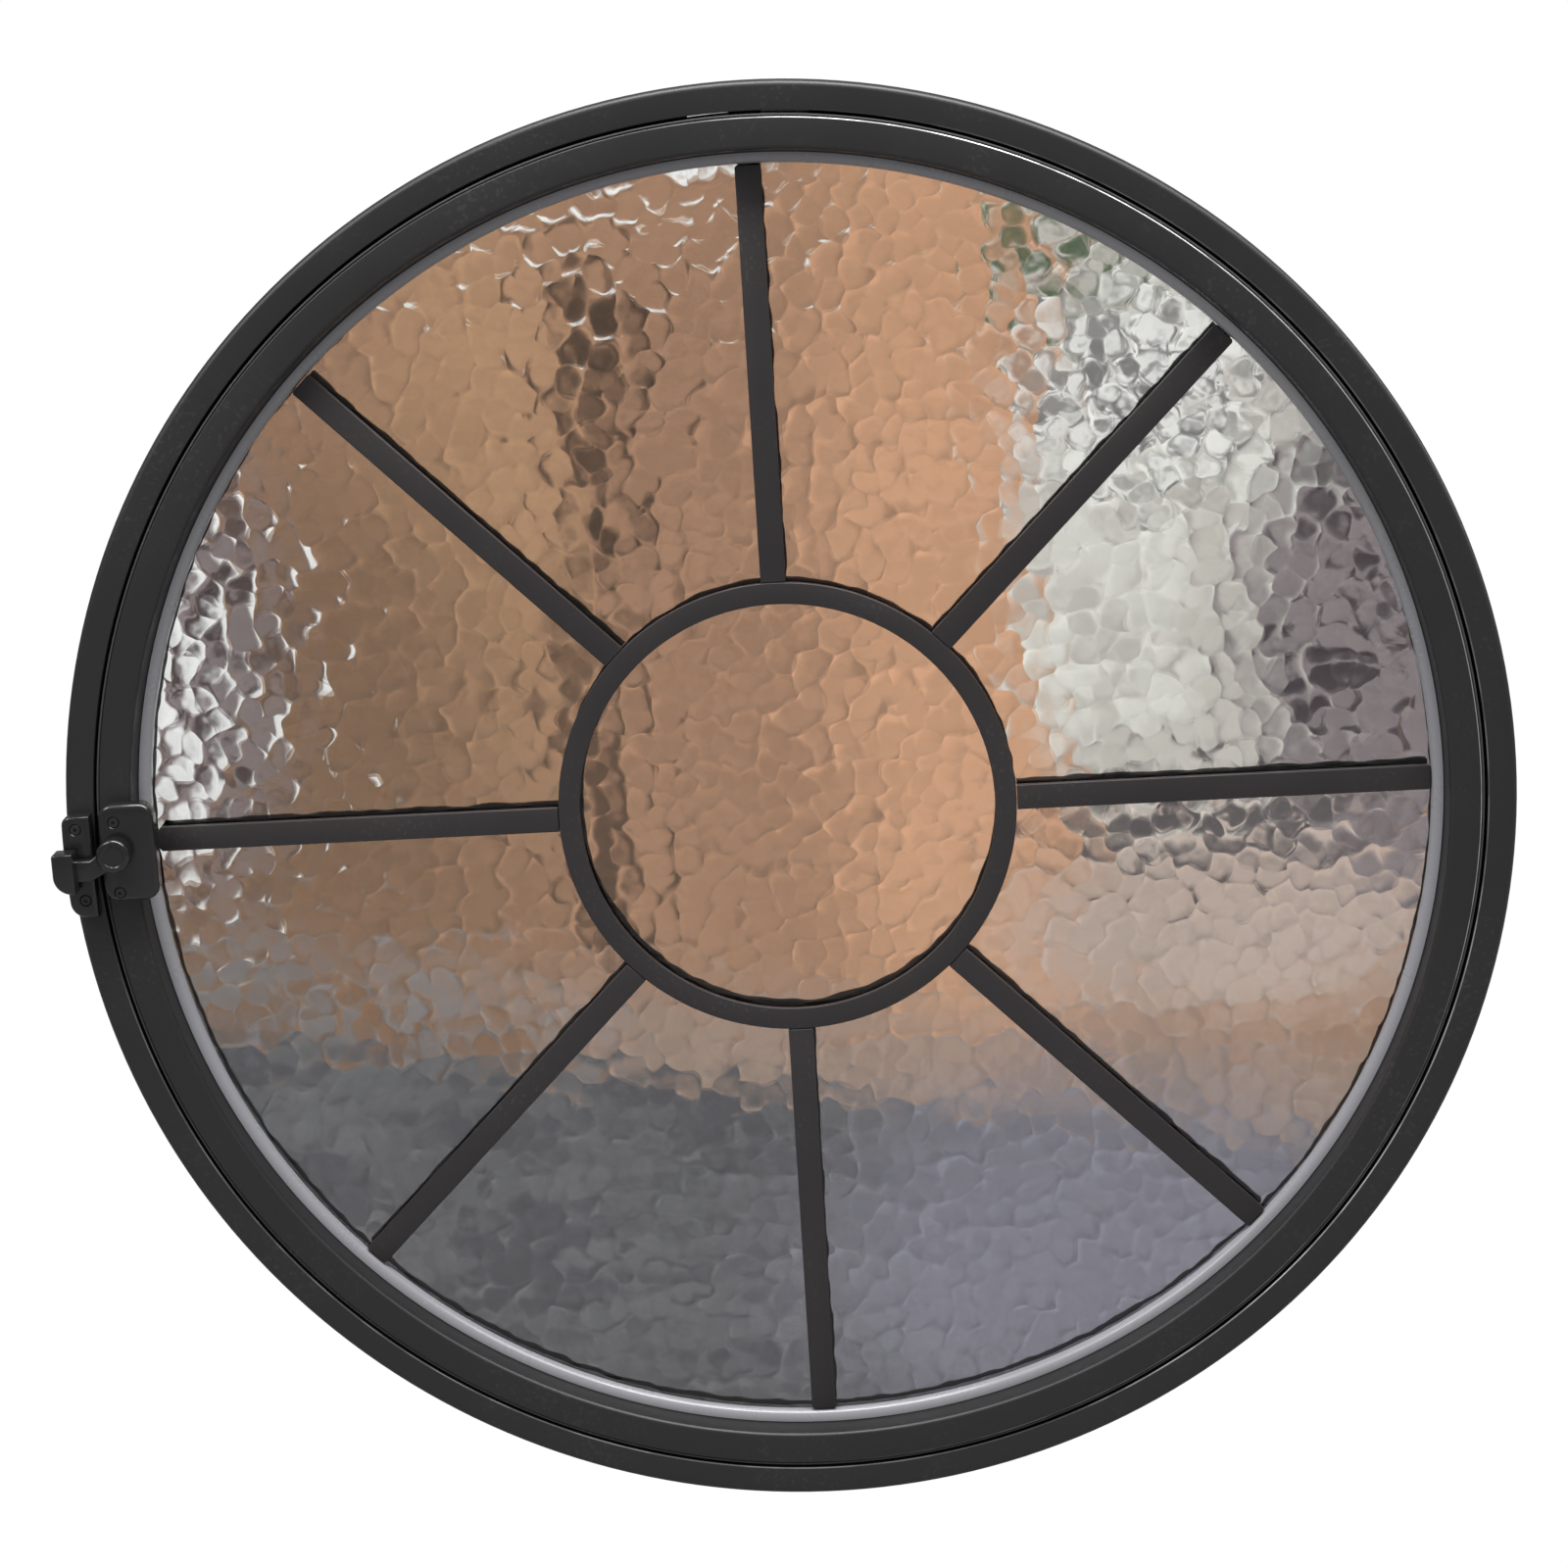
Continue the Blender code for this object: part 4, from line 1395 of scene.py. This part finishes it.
@dataclass
class LatchSet:
    """The turn latch on the sash, the keep on the frame and their screws."""

    wardrobe: Wardrobe
    corner: float = 8 * MM
    housing_edge: float = 3 * MM
    keep_corner: float = 5 * MM
    keep_foot: float = 9 * MM
    keep_edge: float = 2 * MM
    pocket_depth: float = 5.2 * MM
    keep_pocket_x: float = -390.5 * MM
    keep_pocket_z: Point = (-14 * MM, 6.5 * MM)
    tongue_length: float = 17 * MM
    eye: float = 6.5 * MM
    spindle: float = 4 * MM
    gap: float = 0.3 * MM
    clearance: float = 1 * MM
    hub: float = 9.5 * MM
    hub_edge: float = 2.2 * MM
    hub_cap: float = 2.5 * MM
    dimple_inset: float = 1.5 * MM
    dimple_slope: float = 0.6 * MM
    dimple_depth: float = 0.5 * MM
    arm_front: float = -25 * MM
    arm_root: float = 7 * MM
    arm_half: float = 6 * MM
    arm_knee: float = 14 * MM
    arm_overlap: float = 3 * MM
    arm_step: float = 0.2 * MM
    tab_step: float = 0.4 * MM
    lever_edge: float = 1.6 * MM
    tab_corner: float = 2 * MM
    tab_belly: float = 10 * MM
    tab_inner: float = -393 * MM
    tab_drop: float = 18 * MM
    screw: float = 1.5 * MM
    screw_head: float = 2.9 * MM
    screw_head_depth: float = 1.6 * MM
    screw_rim: float = 0.25 * MM
    screw_tip: float = 1 * MM
    screw_tip_share: float = 0.4
    socket: float = 1.25 * MM
    socket_depth: float = 1.1 * MM
    mouth_flare: float = 0.9 * MM
    above: float = 1 * MM
    behind: float = 2 * MM

    def centre(self) -> Point:
        """The spindle's axis, as x and z."""
        low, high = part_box("latch_spindle")
        return (low.x + high.x) / 2, (low.z + high.z) / 2

    def screws(self, prefix: str, body: Body, targets: Sequence[bpy.types.Object]) -> None:
        """Make two countersunk screws with hexagon sockets, and their holes.

        Args:
            prefix: housing or keep.
            body: the body they ride on.
            targets: the pieces that get the holes.
        """
        for place in ("top", "bottom"):
            node = f"{prefix}_screw_{place}"
            low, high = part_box(node)
            length = high.y - low.y
            seat = face_front((low.x + high.x) / 2, low.y, (low.z + high.z) / 2)
            profile = [
                (0, -length),
                (self.screw_tip_share * self.screw, -length),
                (self.screw, -length + self.screw_tip),
                (self.screw, -self.screw_head_depth),
                (self.screw_head, -self.screw_rim),
                (self.screw_head - self.screw_rim, 0),
                (0, 0),
            ]
            piece = bake_mesh(f"{prefix}_fixing_{place}", placed(spin_solid(profile, 36), seat))
            hexagon = arc((0, 0), self.socket, 0, 360, 6)[:-1]
            tool = extrude_outline(hexagon, -self.above, self.socket_depth)
            combine(piece, "DIFFERENCE", [placed(tool, Matrix.Translation(seat.translation))])
            self.wardrobe.finish_piece(piece, Slot.STEEL, body, node)
            mouth = self.screw_head + self.gap
            hole = [
                (0, -length - self.gap),
                (self.screw + self.gap, -length - self.gap),
                (self.screw + self.gap, -self.screw_head_depth - self.gap / 2),
                (mouth, -self.gap / 2),
                (mouth + self.mouth_flare, self.above),
                (0, self.above),
            ]
            for target in targets:
                combine(target, "DIFFERENCE", [placed(spin_solid(hole, 36), seat)])

    def housing(self, sash: bpy.types.Object) -> None:
        """Make the housing: a rounded plate with a pocket behind for the tongue.

        Args:
            sash: the sash ring, which takes the screws.
        """
        low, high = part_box("latch_housing")
        x, z = self.centre()
        corners = (
            ((high.x - self.corner, high.z - self.corner), 0),
            ((low.x + self.corner, high.z - self.corner), 90),
            ((low.x + self.corner, low.z + self.corner), 180),
            ((high.x - self.corner, low.z + self.corner), 270),
        )
        arcs = [arc(middle, self.corner, first, first + 90, 8) for middle, first in corners]
        outline = [point for corner in arcs for point in corner]
        piece = bake_mesh("latch_case", extrude_outline(outline, low.y, high.y, self.housing_edge, 6))
        left, right = low.x - self.behind, x + self.eye + self.clearance
        floor, top = -self.tongue_length - self.clearance, self.eye + self.clearance
        pocket = [(left, floor), (right, floor), (right, top), (left, top)]
        bore = placed(rod(self.spindle + self.gap, 0, -2 * low.y), face_front(x, 0, z))
        front = high.y - self.pocket_depth
        combine(piece, "DIFFERENCE", [extrude_outline(pocket, front, high.y + self.behind), bore])
        self.screws("housing", Body.SASH, (piece, sash))
        self.wardrobe.finish_piece(piece, Slot.FITTING_PAINT, Body.SASH, "latch_housing")

    def keep(self, frame_ring: bpy.types.Object) -> None:
        """Make the keep: a plate that follows the frame outside and stands square inside.

        Args:
            frame_ring: the frame, which takes the screws.
        """
        low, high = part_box("latch_keep")
        outer, inner = -low.x, -high.x
        start = 180 - math.degrees(math.asin((high.z - self.keep_corner) / outer))
        end = 180 + math.degrees(math.asin(-(low.z + self.keep_foot) / outer))
        rim = arc((0, 0), outer, start, end, 10)
        outline = [
            *arc((rim[-1][0] + self.keep_foot, low.z + self.keep_foot), self.keep_foot, 180, 270, 8),
            (-inner, low.z),
            (-inner, high.z),
            *arc((rim[0][0] + self.keep_corner, high.z - self.keep_corner), self.keep_corner, 90, 180, 6),
            *rim[1:-1],
        ]
        piece = bake_mesh("latch_keep_plate", extrude_outline(outline, low.y, high.y, self.keep_edge, 5))
        bottom, top = self.keep_pocket_z
        right = -inner + self.behind
        pocket = [(self.keep_pocket_x, bottom), (right, bottom), (right, top), (self.keep_pocket_x, top)]
        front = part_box("latch_housing")[1].y - self.pocket_depth
        combine(piece, "DIFFERENCE", [extrude_outline(pocket, front, high.y + self.behind)])
        self.screws("keep", Body.FRAME, (piece, frame_ring))
        self.wardrobe.finish_piece(piece, Slot.FITTING_PAINT, Body.FRAME, "latch_keep")

    def lever(self) -> None:
        """Make the lever: a domed hub, a cranked arm and a thumb tab that is flat on top."""
        low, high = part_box("latch_lever")
        x, z = self.centre()
        spindle_end = -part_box("latch_spindle")[0].y
        back, front = -high.y, spindle_end + self.hub_cap
        dome = arc((self.hub - self.hub_edge, front - self.hub_edge), self.hub_edge, 0, 90, 6)
        dimple = self.hub - self.hub_edge - self.dimple_inset
        profile = [
            (0, back),
            (self.hub, back),
            *dome[:-1],
            (dimple + self.dimple_slope, front),
            (dimple, front - self.dimple_depth),
            (0, front - self.dimple_depth),
        ]
        piece = bake_mesh("latch_handle", placed(spin_solid(profile, 64), face_front(x, 0, z)))
        tab_low, tab_high = low.z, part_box("latch_keep")[1].z - self.tab_drop
        middle = (tab_low + tab_high) / 2
        reach = self.tab_inner - self.arm_overlap
        knee = x - self.arm_knee
        arm = [
            (x, self.arm_root),
            (knee, middle + self.arm_half),
            (reach, middle + self.arm_half),
            (reach, middle - self.arm_half),
            (knee, middle - self.arm_half),
            (x, -self.arm_root),
        ]
        tab = [
            (self.tab_inner, tab_high),
            *arc((low.x + self.tab_corner, tab_high - self.tab_corner), self.tab_corner, 90, 180, 5),
            *arc((low.x + self.tab_belly, tab_low + self.tab_belly), self.tab_belly, 180, 270, 10),
            (self.tab_inner, tab_low),
        ]
        arm_solid = extrude_outline(arm, self.arm_front, high.y - self.arm_step, self.lever_edge, 5)
        tab_solid = extrude_outline(tab, low.y, high.y - self.tab_step, self.lever_edge, 5)
        combine(piece, "UNION", [arm_solid, tab_solid])
        sink = rod(self.spindle + self.gap, back - self.behind, spindle_end + self.gap)
        combine(piece, "DIFFERENCE", [placed(sink, face_front(x, 0, z))])
        self.wardrobe.finish_piece(piece, Slot.FITTING_PAINT, Body.LATCH, "latch_lever")

    def build(self, frame: dict, frame_ring: bpy.types.Object, sash: bpy.types.Object) -> None:
        """Make the latch.

        Args:
            frame: the loaded model.
            frame_ring: the frame piece.
            sash: the sash piece.
        """
        self.housing(sash)
        self.keep(frame_ring)
        self.lever()
        self.wardrobe.keep_nodes(frame, Slot.STEEL, ("latch_spindle", "latch_tongue"))


@dataclass
class Studio:
    """A white sweep, soft light and the camera.

    The sweep and the world glow by two strengths: the first lights the window by bounced light,
    and the second is how white they look themselves.
    """

    aim: Vector = field(default_factory=lambda: Vector((-0.0005, 0.0016, 0.0155)))
    azimuth: float = 3.211
    elevation: float = 13.029
    roll: float = -3.564
    distance: float = 2.2472
    lens: float = 93.47
    sensor: float = 36.0
    floor_drop: float = 3 * MM
    wall_y: float = 4.4
    wall_top: float = 4.5
    half_width: float = 9.0
    floor_front: float = -9.0
    sweep_radius: float = 1.2
    sweep_colour: Colour = (0.2, 0.2, 0.2)
    mottle_scale: float = 1.5
    sweep_glow: Point = (0.16, 1.02)
    world_glow: Point = (0.26, 1.12)

    def camera(self) -> None:
        """Place the camera by its angles round the aim point."""
        turn, lift = math.radians(self.azimuth), math.radians(self.elevation)
        back = Vector((math.sin(turn) * math.cos(lift), -math.cos(turn) * math.cos(lift), math.sin(lift)))
        data = bpy.data.cameras.new("camera")
        data.lens = self.lens
        data.sensor_width = self.sensor
        data.clip_start = 0.05
        data.clip_end = 60.0
        camera = bpy.data.objects.new("camera", data)
        camera.location = self.aim + back * self.distance
        facing = (-back).to_track_quat("-Z", "Y").to_matrix()
        camera.rotation_euler = (facing @ Matrix.Rotation(math.radians(self.roll), 3, "Z")).to_euler()
        bpy.context.scene.collection.objects.link(camera)
        bpy.context.scene.camera = camera

    def sweep(self, floor_z: float) -> None:
        """The floor, which curves up into a wall behind.

        Args:
            floor_z: how high the floor lies.
        """
        bend = (self.wall_y - self.sweep_radius, floor_z + self.sweep_radius)
        path = [
            (self.floor_front, floor_z),
            *arc(bend, self.sweep_radius, -90, 0, 16),
            (self.wall_y, self.wall_top),
        ]
        bm = bmesh.new()
        verts = [bm.verts.new((-self.half_width, y, z)) for y, z in path]
        edges = [bm.edges.new(pair) for pair in zip(verts, verts[1:])]
        grown = bmesh.ops.extrude_edge_only(bm, edges=edges)["geom"]
        moved = [item for item in grown if isinstance(item, bmesh.types.BMVert)]
        bmesh.ops.translate(bm, verts=moved, vec=(2 * self.half_width, 0, 0))
        sweep = bake_mesh("studio_sweep", bm)
        material, board, shader = start_material("studio_white")
        place = board.add("TexCoord").outputs["Object"]
        mottle = board.noise(place, self.mottle_scale, 3.0).outputs["Fac"]
        board.feed(shader.inputs["Roughness"], board.ease(mottle, 0.3, 0.7, 0.85, 0.95))
        seen = seen_straight(board)
        board.feed(shader.inputs["Base Color"], board.mix(seen, self.sweep_colour, (0.0, 0.0, 0.0)))
        shader.inputs["Specular IOR Level"].default_value = 0.0
        shader.inputs["Emission Color"].default_value = (1.0, 1.0, 1.0, 1.0)
        board.feed(shader.inputs["Emission Strength"], board.ease(seen, 0.0, 1.0, *self.sweep_glow))
        material.cycles.emission_sampling = "NONE"
        sweep.data.materials.append(material)
        sweep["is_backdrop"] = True

    def lamp(self, name: str, place: Sequence[float], size: Point, power: float) -> None:
        """One rectangular soft light aimed at the window's middle.

        Args:
            name: its name.
            place: where it hangs.
            size: its width and height.
            power: its power in watts.
        """
        data = bpy.data.lights.new(name, "AREA")
        data.shape = "RECTANGLE"
        data.size, data.size_y = size
        data.energy = power
        lamp = bpy.data.objects.new(name, data)
        lamp.location = place
        lamp.rotation_euler = (-Vector(place)).to_track_quat("-Z", "Y").to_euler()
        bpy.context.scene.collection.objects.link(lamp)

    def light(self) -> None:
        """Soft lights round the window, and a pale world."""
        self.lamp("key_right", (1.3, -0.8, 2.2), (1.0, 1.0), 28)
        self.lamp("edge_right", (2.2, 0.15, 1.3), (0.25, 2.0), 18)
        self.lamp("top", (0.0, -0.45, 1.7), (1.4, 0.5), 42)
        self.lamp("fill_left", (-1.3, -0.9, 1.3), (0.8, 0.8), 14)
        world = bpy.data.worlds.new("studio_world")
        world.use_nodes = True
        shade = world.node_tree.nodes["Background"]
        board = NodeBoard(world.node_tree)
        board.feed(shade.inputs["Strength"], board.ease(seen_straight(board), 0.0, 1.0, *self.world_glow))
        shade.inputs["Color"].default_value = (1.0, 1.0, 1.0, 1.0)
        bpy.context.scene.world = world
        bpy.context.scene.view_settings.view_transform = "Standard"

    def build(self, floor_z: float) -> None:
        """Set up the whole studio.

        Args:
            floor_z: how high the floor lies.
        """
        self.camera()
        self.sweep(floor_z)
        self.light()


def main() -> None:
    """Build every piece in order."""
    logging.basicConfig(level=logging.INFO, format="%(name)s: %(message)s")
    for obj in list(bpy.data.objects):
        bpy.data.objects.remove(obj)
    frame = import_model()
    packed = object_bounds()
    studio = Studio()
    studio.build(packed[0].z - studio.floor_drop)
    wardrobe = Wardrobe()
    frame_ring = FixedFrame(wardrobe).build()
    sash_ring = SashRing(wardrobe).build()
    SealedUnit(wardrobe).build()
    Lattice(wardrobe).build()
    Pivots(wardrobe).build(frame)
    LatchSet(wardrobe).build(frame, frame_ring, sash_ring)


if __name__ == "__main__":
    main()
